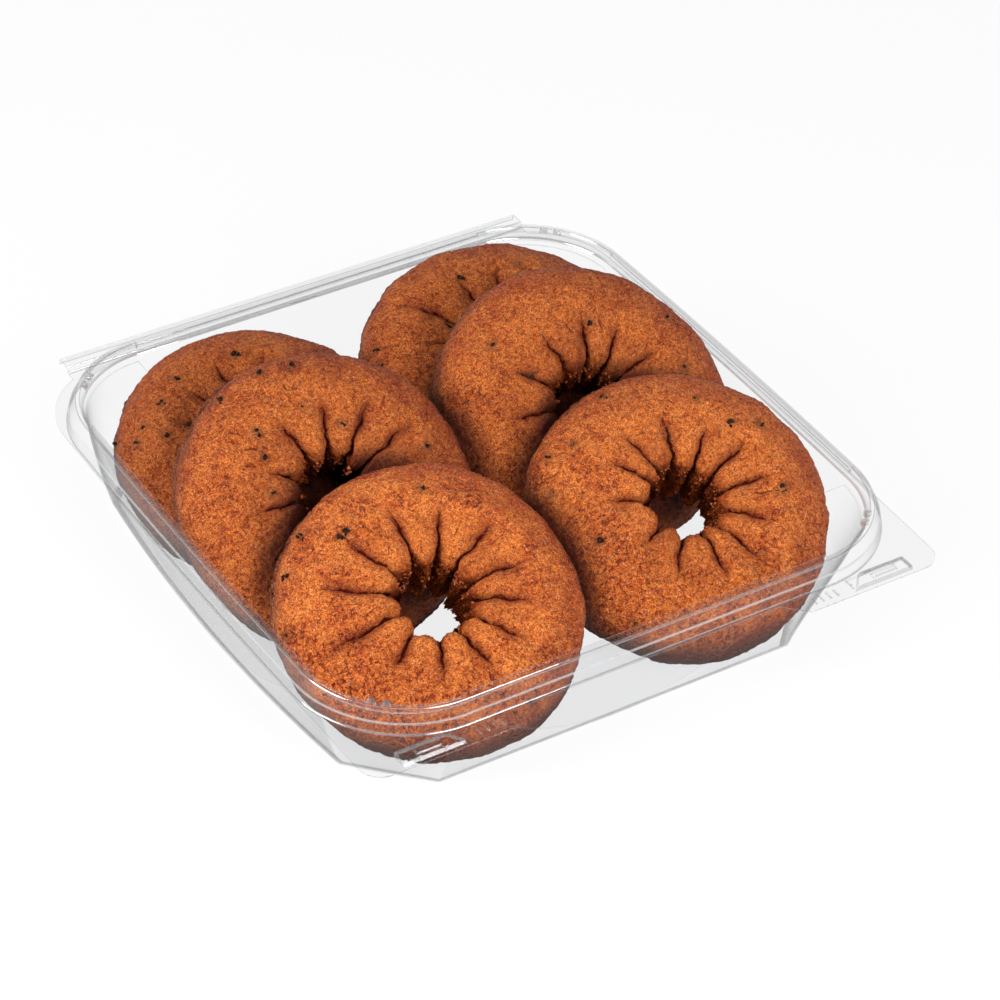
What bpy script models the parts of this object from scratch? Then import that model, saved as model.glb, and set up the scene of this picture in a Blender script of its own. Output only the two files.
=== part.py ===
"""Open clear tray with six pleated cake doughnuts leaning on one another in two columns.

Frame: +Z is up, +X runs along the front edge, -Y is the opening side with its two snap tabs and
+Y is the hinge side. The origin is on the surface the tray stands on, under the floor's middle.
Sizes are in millimetres and angles in degrees. Meshes are written in metres.
"""

import math
from dataclasses import dataclass

import bmesh
import bpy
from mathutils import Matrix, Vector

MM = 0.001
WELD = 1e-6  # metres
COLLECTION = "box_of_doughnuts"

# The tray is one thin formed sheet. Its modelled face is the upper one, on the food's side.
SHEET = 0.4
RIM_TOP = 40.4
RIM_HALF_X = 85.5  # inner edge of the rim
RIM_HALF_Y = 88.0
RIM_RADIUS = 27.9
SIDE_BOW = 1.7  # how far the left and right sides swell at their middle
LAND = 2.4  # flat top of the rim
SLOPE_OUT = 4.2  # foot of the rim's outer slope, out from the inner edge
SLOPE_DROP = 3.8
SKIRT_OUT = 4.6
FLANGE_Z = RIM_TOP - 7.1
LIP_OUT = 5.2
BAND_DROP = 3.4  # upright band under the rim, down to the ledge
LEDGE = 0.7
LEDGE_DROP = 0.6

FLOOR_HALF_X = 75.4
FLOOR_HALF_Y = 77.3
FLOOR_BOW = 3.9
FLOOR_CHAMFER = 19.0  # front corners of the floor are cut straight across
FLOOR_BACK_RADIUS = 9.0
FLOOR_FILLET = 1.4
ARCH_FOOT = 2.3  # lowest height of the arched crease on each wall
ARCH_TOP_GAP = 1.5
CORNER_BELLY = 0.8

TAB_HALF_X = 91.0
TAB_Y = 99.3
TAB_RADIUS = 6.6
TAB_STEP_X = (40.0, 46.5)  # the front edge steps out to the tab between these
BUTTON_X = (61.5, 81.0)
BUTTON_Y = (-98.3, -93.1)
BUTTON_HEIGHT = 1.4
BUTTON_TAPER = 0.93
HINGE_HALF_X = 77.0
HINGE_Y = (93.8, 99.3)
HINGE_HEIGHT = 1.9
HINGE_SLANT = 0.4
BACK_LIP_RADIUS = 24.7

HALF_SIDE_STEPS = 4
CORNER_STEPS = 8

# Doughnuts
HOLE_RADIUS = 9.5
SECTION_POWER = 2.2  # a little squarer than an ellipse
STEPS_PER_PLEAT = 4
SECTION_STEPS = 12
PLEAT_DEPTH = 2.8
LOBE_RISE = 0.7
PLEAT_SPAN = (85.0, 135.0, 200.0, 245.0)  # round the section: fades in, full, full, fades out
LUMPS = ((2, 0.016), (3, 0.012), (5, 0.006))  # waves round the ring, and their share of its size
REST_GAP = 0.35  # between a doughnut and the sheet
TOUCH_GAP = 0.5  # between two doughnuts pressed together
SETTLE_STEPS = 24

CRUST = (0.42, 0.13, 0.028, 1.0)
CLEAR = (0.93, 0.95, 0.96, 1.0)


@dataclass(frozen=True)
class Doughnut:
    name: str
    centre: tuple
    tilt: float  # how far its top leans to the front
    turn: float  # about +Z
    width: float
    thickness: float
    pleats: tuple  # where each crease runs into the hole

    @property
    def tube(self):
        return (self.width / 2 - HOLE_RADIUS) / 2

    @property
    def ring(self):
        return HOLE_RADIUS + self.tube

    @property
    def pose(self):
        lean = Matrix.Rotation(math.radians(self.tilt), 4, "X")
        return Matrix.Translation(self.centre) @ Matrix.Rotation(math.radians(self.turn), 4, "Z") @ lean

    def size_at(self, point):
        """1 on the plain ring's surface, less inside it and more outside."""
        local = self.pose.inverted() @ point
        across = abs(math.hypot(local.x, local.y) - self.ring) / self.tube
        up = abs(local.z) / (self.thickness / 2)
        return (across**SECTION_POWER + up**SECTION_POWER) ** (1 / SECTION_POWER)


DOUGHNUTS = (
    Doughnut(
        "doughnut_front_left", (-38.5, -41.4, 26.0), 28.2, -15.9, 84.8, 24.8,
        (12, 43, 74, 105, 137, 168, 200, 231, 263, 294, 321, 348),
    ),
    Doughnut(
        "doughnut_middle_left", (-41.4, 8.6, 30.7), 36.6, -7.1, 85.2, 24.0,
        (26, 52, 80, 114, 151, 184, 214, 245, 274, 303, 331, 358),
    ),
    Doughnut(
        "doughnut_back_left", (-41.8, 46.0, 22.4), 17.6, -9.7, 81.3, 26.4,
        (12, 41, 70, 104, 132, 163, 194, 222, 253, 284, 313, 343),
    ),
    Doughnut(
        "doughnut_front_right", (42.1, -41.7, 27.9), 28.2, -13.6, 85.6, 25.4,
        (4, 32, 60, 90, 119, 142, 172, 217, 247, 280, 305, 333),
    ),
    Doughnut(
        "doughnut_middle_right", (41.9, 7.7, 31.6), 37.2, -10.9, 86.7, 25.0,
        (24, 54, 80, 113, 148, 183, 212, 243, 273, 302, 330, 357),
    ),
    Doughnut(
        "doughnut_back_right", (40.3, 45.4, 23.3), 20.8, -16.0, 85.2, 25.8,
        (23, 54, 83, 109, 142, 169, 198, 229, 260, 291, 321, 352),
    ),
)


def clear_scene():
    for obj in list(bpy.data.objects):
        bpy.data.objects.remove(obj, do_unlink=True)
    collection = bpy.data.collections.new(COLLECTION)
    bpy.context.scene.collection.children.link(collection)
    return collection


def plain_material(name, colour, roughness, alpha=1.0):
    material = bpy.data.materials.new(name)
    material.use_nodes = True
    shader = material.node_tree.nodes["Principled BSDF"]
    shader.inputs["Base Color"].default_value = colour
    shader.inputs["Roughness"].default_value = roughness
    shader.inputs["Metallic"].default_value = 0.0
    shader.inputs["Alpha"].default_value = alpha
    material.diffuse_color = (*colour[:3], alpha)
    return material


def mix(a, b, share):
    return a + (b - a) * share


# ---- Tray: half of the sheet, from the front's middle round the right side to the back's middle


def swept(first, last, steps):
    """Sines of evenly stepped angles: stations crowd towards the ends of a side, as its arch needs."""
    return [math.sin(math.radians(mix(first, last, i / steps))) for i in range(steps + 1)]


HALF_SIDE = swept(0, 90, HALF_SIDE_STEPS)
FULL_SIDE = swept(-90, 90, 2 * HALF_SIDE_STEPS)
SIDE_STATIONS = HALF_SIDE + [1.0] * (CORNER_STEPS - 1) + FULL_SIDE + [1.0] * (CORNER_STEPS - 1)
STATIONS = [abs(s) for s in SIDE_STATIONS + HALF_SIDE[::-1]]


def arc(cx, cy, radius, first, last, steps):
    """Points on an arc, both ends included."""
    angles = [math.radians(mix(first, last, i / steps)) for i in range(steps + 1)]
    return [(cx + radius * math.cos(a), cy + radius * math.sin(a)) for a in angles]


def line(start, end, steps):
    """Points from start to just before end."""
    return [
        (mix(start[0], end[0], i / steps), mix(start[1], end[1], i / steps)) for i in range(steps)
    ]


def bowed(points, bow, half_x, half_y):
    """The outline with its left and right sides swelled by bow at their middle."""
    return [(x * (1 + bow / half_x * max(0.0, 1 - (y / half_y) ** 2)), y) for x, y in points]


def rim_outline(out):
    """The rim's inner edge, moved out by so much."""
    hx, hy, radius = RIM_HALF_X + out, RIM_HALF_Y + out, RIM_RADIUS + out
    cx, cy = hx - radius, hy - radius
    points = [(s * cx, -hy) for s in HALF_SIDE[:-1]]
    points += arc(cx, -cy, radius, -90, 0, CORNER_STEPS)
    points += [(hx, s * cy) for s in FULL_SIDE[1:-1]]
    points += arc(cx, cy, radius, 0, 90, CORNER_STEPS)
    points += [(s * cx, hy) for s in HALF_SIDE[-2::-1]]
    return bowed(points, SIDE_BOW, hx, hy)


def floor_outline(inset=0.0):
    """Where the walls' faces would meet the floor."""
    front_x, front_y = FLOOR_HALF_X - FLOOR_CHAMFER, FLOOR_HALF_Y - FLOOR_CHAMFER
    radius = FLOOR_BACK_RADIUS
    back_x, back_y = FLOOR_HALF_X - radius, FLOOR_HALF_Y - radius
    points = [(s * front_x, -FLOOR_HALF_Y) for s in HALF_SIDE[:-1]]
    points += line((front_x, -FLOOR_HALF_Y), (FLOOR_HALF_X, -front_y), CORNER_STEPS)
    points += [
        (FLOOR_HALF_X + FLOOR_BOW * (1 - s * s), mix(-front_y, back_y, (1 + s) / 2))
        for s in FULL_SIDE[:-1]
    ]
    points += arc(back_x, back_y, radius, 0, 90, CORNER_STEPS)
    points += [(s * back_x, FLOOR_HALF_Y) for s in HALF_SIDE[-2::-1]]
    share = 1 - inset / FLOOR_HALF_Y
    return [(x * share, y * share) for x, y in points]


def lip_outline():
    """The flange's outer edge, with the tab at the front corner and the round corner at the back."""
    hx, hy = RIM_HALF_X + LIP_OUT, RIM_HALF_Y + LIP_OUT
    side_y = RIM_HALF_Y - RIM_RADIUS
    side_x = RIM_HALF_X - RIM_RADIUS
    tab_x, tab_y = TAB_HALF_X - TAB_RADIUS, TAB_Y - TAB_RADIUS
    points = [(s * TAB_STEP_X[0] / HALF_SIDE[2], -hy) for s in HALF_SIDE[:3]]
    points += [(TAB_STEP_X[1], -TAB_Y)]
    points += line((side_x, -TAB_Y), (tab_x, -TAB_Y), 2)
    points += arc(tab_x, -tab_y, TAB_RADIUS, -90, 0, 3)[:-1]
    points += line((TAB_HALF_X, -tab_y), (hx, -side_y), CORNER_STEPS - 5)
    points += [(hx, s * side_y) for s in FULL_SIDE[:-1]]
    radius = BACK_LIP_RADIUS
    cx, cy = hx - radius, hy - radius
    hinge_end = math.degrees(math.acos((HINGE_HALF_X - cx) / radius))
    points += [(hx, side_y)]
    points += arc(cx, cy, radius, 0, hinge_end, CORNER_STEPS - 4)[:-1]
    points += arc(cx, cy, radius, hinge_end, 90, 2)
    points += [(s * side_x, hy) for s in HALF_SIDE[::-1]]
    return bowed(points, SIDE_BOW, hx, hy)


def wall_rows():
    """Rows of points up the walls: fillet, belly, arched crease and the ledge's lower edge."""
    foot_z = SHEET
    top_z = RIM_TOP - BAND_DROP - LEDGE_DROP
    feet, tops = floor_outline(), rim_outline(-LEDGE)
    rows = {"fillet": [], "belly": [], "crease": [], "top": []}
    for foot, top, station in zip(feet, tops, STATIONS):
        foot, top = Vector((*foot, foot_z)), Vector((*top, top_z))
        arch = mix(ARCH_FOOT, top_z - ARCH_TOP_GAP, 1 - math.sqrt(1 - station * station))
        rise = (arch - foot_z) / (top_z - foot_z)
        fillet = FLOOR_FILLET / (top_z - foot_z)
        outward = (top - foot).xy.normalized().to_3d()
        rows["fillet"].append(mix(foot, top, min(fillet, rise * 0.5)))
        rows["belly"].append(mix(foot, top, rise * 0.6) + outward * CORNER_BELLY * rise)
        rows["crease"].append(mix(foot, top, rise))
        rows["top"].append(top)
    return list(rows.values())


def at_height(outline, z):
    return [Vector((x, y, z)) for x, y in outline]


def skin(mesh, rows):
    """Faces between each row of vertices and the next."""
    for lower, upper in zip(rows, rows[1:]):
        for a, b, c, d in zip(lower, lower[1:], upper[1:], upper):
            mesh.faces.new((a, b, c, d))


def raise_button(mesh):
    """The snap button on the tab: a box pushed up in the flange."""
    flange = [
        f for f in mesh.faces
        if f.calc_center_median().y < -RIM_HALF_Y * MM
        and max(abs(v.co.z - FLANGE_Z * MM) for v in f.verts) < WELD
    ]
    for axis, places in ((0, BUTTON_X), (1, BUTTON_Y)):
        for place in places:
            at, normal = Vector((0, 0, 0)), Vector((0, 0, 0))
            at[axis], normal[axis] = place * MM, 1.0
            geometry = {g for f in flange for g in (f, *f.edges, *f.verts)}
            cut = bmesh.ops.bisect_plane(
                mesh, geom=list(geometry), plane_co=at, plane_no=normal, dist=WELD
            )
            flange = [g for g in cut["geom"] if isinstance(g, bmesh.types.BMFace)]
        low, high = (p * MM for p in places)
        flange = [f for f in flange if low < f.calc_center_median()[axis] < high]
    bmesh.ops.dissolve_faces(mesh, faces=flange)
    middle = Vector((sum(BUTTON_X) / 2, sum(BUTTON_Y) / 2, FLANGE_Z)) * MM
    top = min(mesh.faces, key=lambda f: (f.calc_center_median() - middle).length)
    pushed = bmesh.ops.extrude_face_region(mesh, geom=[top])
    bmesh.ops.delete(mesh, geom=[top], context="FACES_ONLY")
    for vertex in (g for g in pushed["geom"] if isinstance(g, bmesh.types.BMVert)):
        vertex.co = middle + (vertex.co - middle) * BUTTON_TAPER
        vertex.co.z = (FLANGE_Z + BUTTON_HEIGHT) * MM


def half_sheet():
    """The sheet's upper face for x >= 0, open along x = 0."""
    floor = at_height(floor_outline(FLOOR_FILLET), SHEET)
    ledge = at_height(rim_outline(0.0), RIM_TOP - BAND_DROP)
    rim_in = at_height(rim_outline(0.0), RIM_TOP)
    rim_out = at_height(rim_outline(LAND), RIM_TOP)
    slope = at_height(rim_outline(SLOPE_OUT), RIM_TOP - SLOPE_DROP)
    skirt = at_height(rim_outline(SKIRT_OUT), FLANGE_Z)
    lip = at_height(lip_outline(), FLANGE_Z)
    rows = [floor, *wall_rows(), ledge, rim_in, rim_out, slope, skirt, lip]

    mesh = bmesh.new()
    grid = [[mesh.verts.new(point * MM) for point in row] for row in rows]
    mesh.faces.new(grid[0])
    skin(mesh, grid)

    first = next(
        i for i, p in enumerate(lip) if p.y > RIM_HALF_Y and p.x < HINGE_HALF_X + SHEET
    )
    inner, outer = HINGE_Y
    profile = (
        (inner, FLANGE_Z),
        (inner + HINGE_SLANT, FLANGE_Z + HINGE_HEIGHT),
        (outer - HINGE_SLANT, FLANGE_Z + HINGE_HEIGHT),
        (outer, FLANGE_Z),
    )
    hinge = [grid[-1][first:]]
    for y, z in profile:
        hinge.append([mesh.verts.new(Vector((p.x, y, z)) * MM) for p in lip[first:]])
    skin(mesh, hinge)

    raise_button(mesh)
    bmesh.ops.recalc_face_normals(mesh, faces=mesh.faces)
    if min(mesh.faces, key=lambda f: f.calc_center_median().z).normal.z < 0:
        bmesh.ops.reverse_faces(mesh, faces=mesh.faces)
    return mesh


def make_tray(collection):
    mesh = half_sheet()
    data = bpy.data.meshes.new("tray")
    mesh.to_mesh(data)
    mesh.free()
    tray = bpy.data.objects.new("tray", data)
    collection.objects.link(tray)
    tray.data.materials.append(plain_material("clear_tray", CLEAR, 0.06, alpha=0.25))

    mirror = tray.modifiers.new("Left half", "MIRROR")
    mirror.use_axis = (True, False, False)
    mirror.use_clip = True
    mirror.merge_threshold = 0.00005
    wall = tray.modifiers.new("Sheet", "SOLIDIFY")
    wall.thickness = SHEET * MM
    wall.offset = -1.0
    return tray


# ---- Doughnuts


def fade(value, low, high):
    """0 below low, 1 above high, and smooth between."""
    share = min(1.0, max(0.0, (value - low) / (high - low)))
    return share * share * (3 - 2 * share)


def surface_point(doughnut, column, around):
    """A point of the pleated ring, in the doughnut's own frame. around goes 0 at the outer edge,
    90 on top and 180 in the hole."""
    pleat, step = divmod(column, STEPS_PER_PLEAT)
    count = len(doughnut.pleats)
    start = doughnut.pleats[pleat % count]
    gap = (doughnut.pleats[(pleat + 1) % count] - start) % 360
    turn = math.radians(start + gap * step / STEPS_PER_PLEAT)

    angle = math.radians(around)
    size = 1.0
    for waves, share in LUMPS:
        size += share * math.sin(waves * turn + waves * doughnut.width + 0.5 * angle)
    power = 2 / SECTION_POWER
    across = math.copysign(abs(math.cos(angle)) ** power, math.cos(angle)) * doughnut.tube
    up = math.copysign(abs(math.sin(angle)) ** power, math.sin(angle)) * doughnut.thickness / 2

    begins, full, leaves, ends = PLEAT_SPAN
    pleated = fade(around, begins, full) * (1 - fade(around, leaves, ends))
    ridge = math.sin(math.pi * step / STEPS_PER_PLEAT)
    relief = pleated * (LOBE_RISE * ridge - PLEAT_DEPTH * (1 - ridge) ** 2)
    reach = math.hypot(across, up)
    size *= 1 + relief / reach
    flat = doughnut.ring + across * size
    return Vector((flat * math.cos(turn), flat * math.sin(turn), up * size)), turn


def inside_tray(point):
    """True for a point that clears the floor and the walls."""
    rise = (point.z - SHEET) / (RIM_TOP - SHEET)
    if point.z < SHEET + REST_GAP:
        return False
    if rise > 1:
        return True
    half_y = mix(FLOOR_HALF_Y, RIM_HALF_Y - LEDGE, rise) - REST_GAP
    along = (point.y / FLOOR_HALF_Y) ** 2
    floor_x = FLOOR_HALF_X + FLOOR_BOW * max(0.0, 1 - along / 0.7)
    rim_x = RIM_HALF_X - LEDGE + SIDE_BOW * max(0.0, 1 - along)
    return abs(point.y) < half_y and abs(point.x) < mix(floor_x, rim_x, rise) - REST_GAP


def fits(doughnut, point, others):
    """True if the point is the doughnut's own: in the tray, and nearer to it than to a neighbour."""
    own = doughnut.size_at(point)
    for other in others:
        room = (other.size_at(point) - own) * min(doughnut.thickness, other.thickness) / 2
        if room < TOUCH_GAP:
            return False
    return inside_tray(point)


def settle(doughnut, point, core, others):
    """The point, drawn back towards its ring's core line until it fits."""
    if fits(doughnut, point, others):
        return point
    near, far = 0.0, 1.0
    for _ in range(SETTLE_STEPS):
        middle = (near + far) / 2
        if fits(doughnut, core.lerp(point, middle), others):
            near = middle
        else:
            far = middle
    return core.lerp(point, near)


def make_doughnut(collection, doughnut, material):
    columns = STEPS_PER_PLEAT * len(doughnut.pleats)
    bpy.ops.mesh.primitive_torus_add(
        major_segments=columns,
        minor_segments=SECTION_STEPS,
        major_radius=doughnut.ring * MM,
        minor_radius=doughnut.tube * MM,
    )
    ring = bpy.context.object
    ring.name = ring.data.name = doughnut.name
    for owner in list(ring.users_collection):
        owner.objects.unlink(ring)
    collection.objects.link(ring)

    pose, back = doughnut.pose, doughnut.pose.inverted()
    others = [d for d in DOUGHNUTS if d is not doughnut]
    for vertex in ring.data.vertices:
        x, y, z = vertex.co / MM
        column = round(math.atan2(y, x) / math.tau * columns) % columns
        across = math.hypot(x, y) - doughnut.ring
        around = math.degrees(math.atan2(z, across)) % 360
        local, turn = surface_point(doughnut, column, around)
        core = pose @ Vector(
            (doughnut.ring * math.cos(turn), doughnut.ring * math.sin(turn), 0)
        )
        vertex.co = back @ settle(doughnut, pose @ local, core, others) * MM
    place = pose.copy()
    place.translation *= MM
    ring.matrix_world = place
    ring.data.materials.append(material)
    ring.data.shade_smooth()
    return ring


def main():
    collection = clear_scene()
    make_tray(collection)
    for doughnut in DOUGHNUTS:
        crust = plain_material("crust_" + doughnut.name, CRUST, 0.8)
        make_doughnut(collection, doughnut, crust)


main()
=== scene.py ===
"""Open clear tray with six pleated cake doughnuts: the finished look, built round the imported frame.

Frame: +Z is up, +X runs along the front edge, -Y is the opening side with its two snap tabs and
+Y is the hinge side. Shapes are worked out in millimetres and written to meshes in metres.
"""

import math
import random
from dataclasses import dataclass
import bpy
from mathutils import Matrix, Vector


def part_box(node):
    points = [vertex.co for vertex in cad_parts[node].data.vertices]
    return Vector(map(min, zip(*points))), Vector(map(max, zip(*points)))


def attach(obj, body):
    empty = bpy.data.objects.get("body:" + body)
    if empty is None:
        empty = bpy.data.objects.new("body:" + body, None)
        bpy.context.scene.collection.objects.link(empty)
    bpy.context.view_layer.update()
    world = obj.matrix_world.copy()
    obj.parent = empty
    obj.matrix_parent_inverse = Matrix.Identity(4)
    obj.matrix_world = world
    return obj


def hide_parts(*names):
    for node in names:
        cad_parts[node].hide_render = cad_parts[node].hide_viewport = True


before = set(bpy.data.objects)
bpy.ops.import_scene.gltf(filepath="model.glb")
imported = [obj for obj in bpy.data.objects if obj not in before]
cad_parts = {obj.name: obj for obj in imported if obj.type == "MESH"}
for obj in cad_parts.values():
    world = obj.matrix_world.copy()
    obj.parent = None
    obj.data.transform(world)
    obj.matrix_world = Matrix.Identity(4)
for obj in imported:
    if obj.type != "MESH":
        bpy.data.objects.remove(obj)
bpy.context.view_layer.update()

from types import SimpleNamespace

import bmesh
import bpy
import numpy as np
from bpy.props import FloatProperty, FloatVectorProperty, IntProperty, PointerProperty
from bpy.types import Operator, Panel, PropertyGroup
from mathutils import Matrix, Vector, noise

bl_info = {
    "name": "Box of doughnuts",
    "version": (1, 0, 0),
    "blender": (4, 5, 0),
    "location": "3D Viewport > Sidebar > Doughnuts",
    "description": "Builds a clear tray with six pleated cake doughnuts",
    "category": "Add Mesh",
}

MM = 0.001
PER_MM = 1000.0
TRAY_LOW, TRAY_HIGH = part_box("tray")

# ---- Tray sizes. The sheet's modelled face is the upper one, on the food's side.
SHEET = 0.4  # thickness
RIM_TOP = TRAY_HIGH.z * PER_MM
LIP_OUT = 5.2  # from the rim's inner edge to the lip, at the sides
SIDE_BOW = 1.7  # how far the left and right sides swell at their middle
RIM_HALF_X = TRAY_HIGH.x * PER_MM - LIP_OUT - SIDE_BOW
TAB_Y = -TRAY_LOW.y * PER_MM
RIM_HALF_Y = 88.0
RIM_RADIUS = 27.9
LAND = 2.4  # flat top of the rim
SLOPE_OUT = 4.2
SLOPE_DROP = 3.8
SKIRT_OUT = 4.6
FLANGE_Z = RIM_TOP - 7.1
BAND_DROP = 3.4  # upright band under the rim, down to the ledge
LEDGE = 0.7
LEDGE_DROP = 0.6

FLOOR_HALF_X = 75.4
FLOOR_HALF_Y = 77.3
FLOOR_BOW = 3.9  # how far the floor's left and right sides swell
FLOOR_BOW_SPAN = 0.7  # squared share of the floor's half length that they swell over
FLOOR_CHAMFER = 19.0  # front corners of the floor are cut straight across
FLOOR_BACK_RADIUS = 9.0
FLOOR_FILLET = 1.4
ARCH_FOOT = 2.3  # lowest height of the arched crease on each wall
ARCH_TOP_GAP = 1.5
ARCH_POWER = 2.2  # how sharply the creases climb at the ends of a wall
ROWS_BELOW, ROWS_ABOVE = 6, 5  # rows of faces on the walls, below and above the crease
CORNER_BELLY = 0.8
CREASE_WIDTH = 0.45

TAB_HALF_X = 91.0
TAB_RADIUS = 6.6
TAB_STEP_X = (40.0, 46.5)  # the front edge steps out to the tab between these
BUTTON_X = (61.5, 81.0)
BUTTON_Y = (-98.3, -93.1)
BUTTON_HEIGHT = 1.4
BUTTON_EDGE = 0.35  # how far its sides slope in
TIER_X = (68.0, 76.5)
TIER_Y = (-97.3, -95.4)
TIER_HEIGHT = 0.55
WEDGE_LEAN = 4.4  # the facet at its inner end runs slantwise across it by this much
WEDGE_DROP = 0.9
WEDGE_NORMAL = Vector((BUTTON_Y[0] - BUTTON_Y[1], WEDGE_LEAN, 0.0)).normalized()
RIB_X = (49.0, 51.4, 53.8, 56.2)
RIB_WIDTH = 1.0
RIB_Y = (-97.4, -94.4)
RIB_HEIGHT = 0.35
HINGE_HALF_X = 77.0
HINGE_Y = (93.8, 99.3)
HINGE_HEIGHT = 1.9
HINGE_SLANT = 0.4
HINGE_BEND = 0.35
BACK_LIP_RADIUS = 24.7

EDGE_REACH = 1.5  # the rim's inner edge moves within this distance of its corner
NEAR_EDGE = EDGE_REACH * 0.9  # a row that is nearer than this to that corner belongs to the edge
RECESS = 0.8  # it stands back by this much round the corners
LUG_ANGLES = (38.5, 41.5, 47.5, 50.5)  # round the corner: from and to of its two small lugs
LUG_SHARE = -1.0  # the lugs stand in by as much as the rest of the corner stands back
STRAIGHT = 0.01  # sine of the turn below which a profile's corner isn't a bend
FLAT_FACE = 0.9  # upward part of a face's normal, above which it counts as level
WELD = 1e-6  # in metres: points nearer than this are one
FACE, BEND, EDGE = 0, 1, 2  # the tray's three finishes
GRAZING_MIRROR = 0.7  # share of light that the sheet mirrors, seen edge on

# ---- Doughnut sizes
HOLE_RADIUS = 9.5
SECTION_POWER = 2.2  # a little squarer than an ellipse
HOLE_POWER = 3.6  # squarer still on the hole's side, so that the hole drops steeply
LUMPS = ((2, 0.016), (3, 0.012), (5, 0.006))  # waves round the ring, and their share of its size
REST_GAP = 0.35  # from the tray
TOUCH_GAP = 0.5  # from a neighbour
CROWD_SHADE_GAP = 10.0  # painted shade darkens the crust where a neighbour is nearer than this
SETTLE_STEPS = 16
CUTS = 7  # each face of the first coarse ring is cut into a grid of eight by eight
SEED = 11

# ---- Heights of the crust's relief
PLUMP = 1.3  # the lobes, towards the hole
SHOULDER = 1.6  # where they turn down into it
POKE = (-1.5, 0.8)  # how far each lobe's inner end stands out
SWELL = 0.75
WANDER = 0.12
FOLD = 0.34
PIT = 0.4
NICK = 0.45
TEAR = (0.10, 0.2, 0.9)  # roughness everywhere, and more of it in the hole and where it is torn
TORN_STEP = 0.4

# ---- Places round the ring, in degrees of turn
ROUGH_SIDE = 235.0  # the side that is pitted most
PAINTED_LIGHT_SIDE = 195.0  # the side turned to the light is painted more golden: painted light
CRUMB_SPREAD = 25.0  # how far crumbs lie past each end of a torn edge

# ---- Places round the section, in degrees: 0 at the outer edge, 90 on top, 180 in the hole.
# NEAR runs from where something starts to where it is full, FAR from where it fades to its end.
HOLE_NEAR, HOLE_FAR = (108, 140), (205, 240)
SHOULDER_NEAR, SHOULDER_FAR = (92, 122), (128, 160)
# painted shade into the hole: where it starts and where it ends
HOLE_SHADE_NEAR, HOLE_SHADE_FAR = (112, 172), (250, 290)
TORN_NEAR = (142, 152)
PLEATS_FAR = (195, 230)
NICK_AROUND = (28, 100)
CRUMBS = (138, 205, 152)  # from, to and most often

# ---- Small things on the crust
NICKS = 60  # scattered short cracks on each doughnut
NICK_LENGTH = (1.2, 3.4)
NICK_WIDTH = 0.27
FOLD_DRUM = 14.0  # the folds run along a drum of this radius, so that they point into the hole
BIT_SINK = 0.035  # how deep fruit bits sit, as a share of the way to the ring's core line
BIT_LUMPS = 5
STAIN_REACH = 1.7

# ---- Crust colours. A tint is multiplied with the crust under it, and the others cover it.
BLOTCH = (0.46, 0.070, 0.010)
UNDERSIDE_SHADE = (0.17, 0.045, 0.014)
CRACK = (0.17, 0.010, 0.002)
SPLIT = (0.20, 0.017, 0.004)
CREASE_SPLIT_SHADE = (0.105, 0.010, 0.004)
STAIN = (0.14, 0.055, 0.020)
CRUMB_RANGE = ((0.10, 0.011, 0.004), (0.60, 0.13, 0.026))
MOTTLE_TINT = (0.74, 0.46, 0.34)
ROUGH_TINT = (0.74, 0.42, 0.28)
GRAIN_TINT = (0.60, 0.30, 0.19)
FLANK_SHADE_TINT = (0.34, 0.14, 0.085)
SHADE_TINT = (0.42, 0.30, 0.28)
CROWD_SHADE_TINT = (0.16, 0.07, 0.05)
FLOOR_SHADE_TINT = (0.32, 0.25, 0.22)
TOAST_AND_HOLE_SHADE_TINT = (0.42, 0.24, 0.17)

# What each point of the crust tells its material: from 0 to 1, but crease is in millimetres.
CRUST_FIELDS = (
    "inward", "upward", "sunny", "flank", "crease", "cracks", "rough", "torn", "hole", "crowded",
    "low", "toasted", "shade", "stain",
)

# ---- Stage, in metres and watts but for the gap: each light's name, place, aim, width and power
FLOOR_GAP = 0.05  # between the table and the tray's underside
FLOOR_RADIUS = 4.0
MIDDLE = (0.0, 0.0, 0.02)
LIGHTS = (
    ("left", (-0.706, 0.099, 0.463), MIDDLE, 0.45, 6.5),
    ("front", (0.096, -0.681, 0.50), MIDDLE, 0.45, 5.6),
    ("top", (-0.15, -0.20, 0.95), MIDDLE, 0.8, 1.4),
)


@dataclass(frozen=True)
class Doughnut:
    node: str
    centre: tuple
    tilt: float  # how far its top leans to the front
    turn: float  # about +Z
    width: float
    thickness: float
    pleats: tuple  # (turn, reach): where each crease enters the hole, how far from the axis it runs
    torn: tuple  # the stretch of the hole with a torn edge, from and to
    bits: tuple  # (turn, around) of the fruit bits that show at the crust
    shade: float  # 0 for the palest one, 1 for the brownest

    @property
    def tube(self):
        return (self.width / 2 - HOLE_RADIUS) / 2

    @property
    def ring(self):
        return HOLE_RADIUS + self.tube

    @property
    def pose(self):
        lean = Matrix.Rotation(math.radians(self.tilt), 4, "X")
        return Matrix.Translation(self.centre) @ Matrix.Rotation(math.radians(self.turn), 4, "Z") @ lean

    def to_world(self, points):
        pose = np.array(self.pose)
        return points @ pose[:3, :3].T + pose[:3, 3]

    def size_at(self, points, hole=True):
        """1 on the plain ring's surface, less inside it and more outside."""
        pose = np.array(self.pose)
        local = (points - pose[:3, 3]) @ pose[:3, :3]
        across = (np.hypot(local[:, 0], local[:, 1]) - self.ring) / self.tube
        across = np.abs(across) if hole else np.maximum(across, 0.0)
        up = np.abs(local[:, 2]) / (self.thickness / 2)
        return (across**SECTION_POWER + up**SECTION_POWER) ** (1 / SECTION_POWER)


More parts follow.
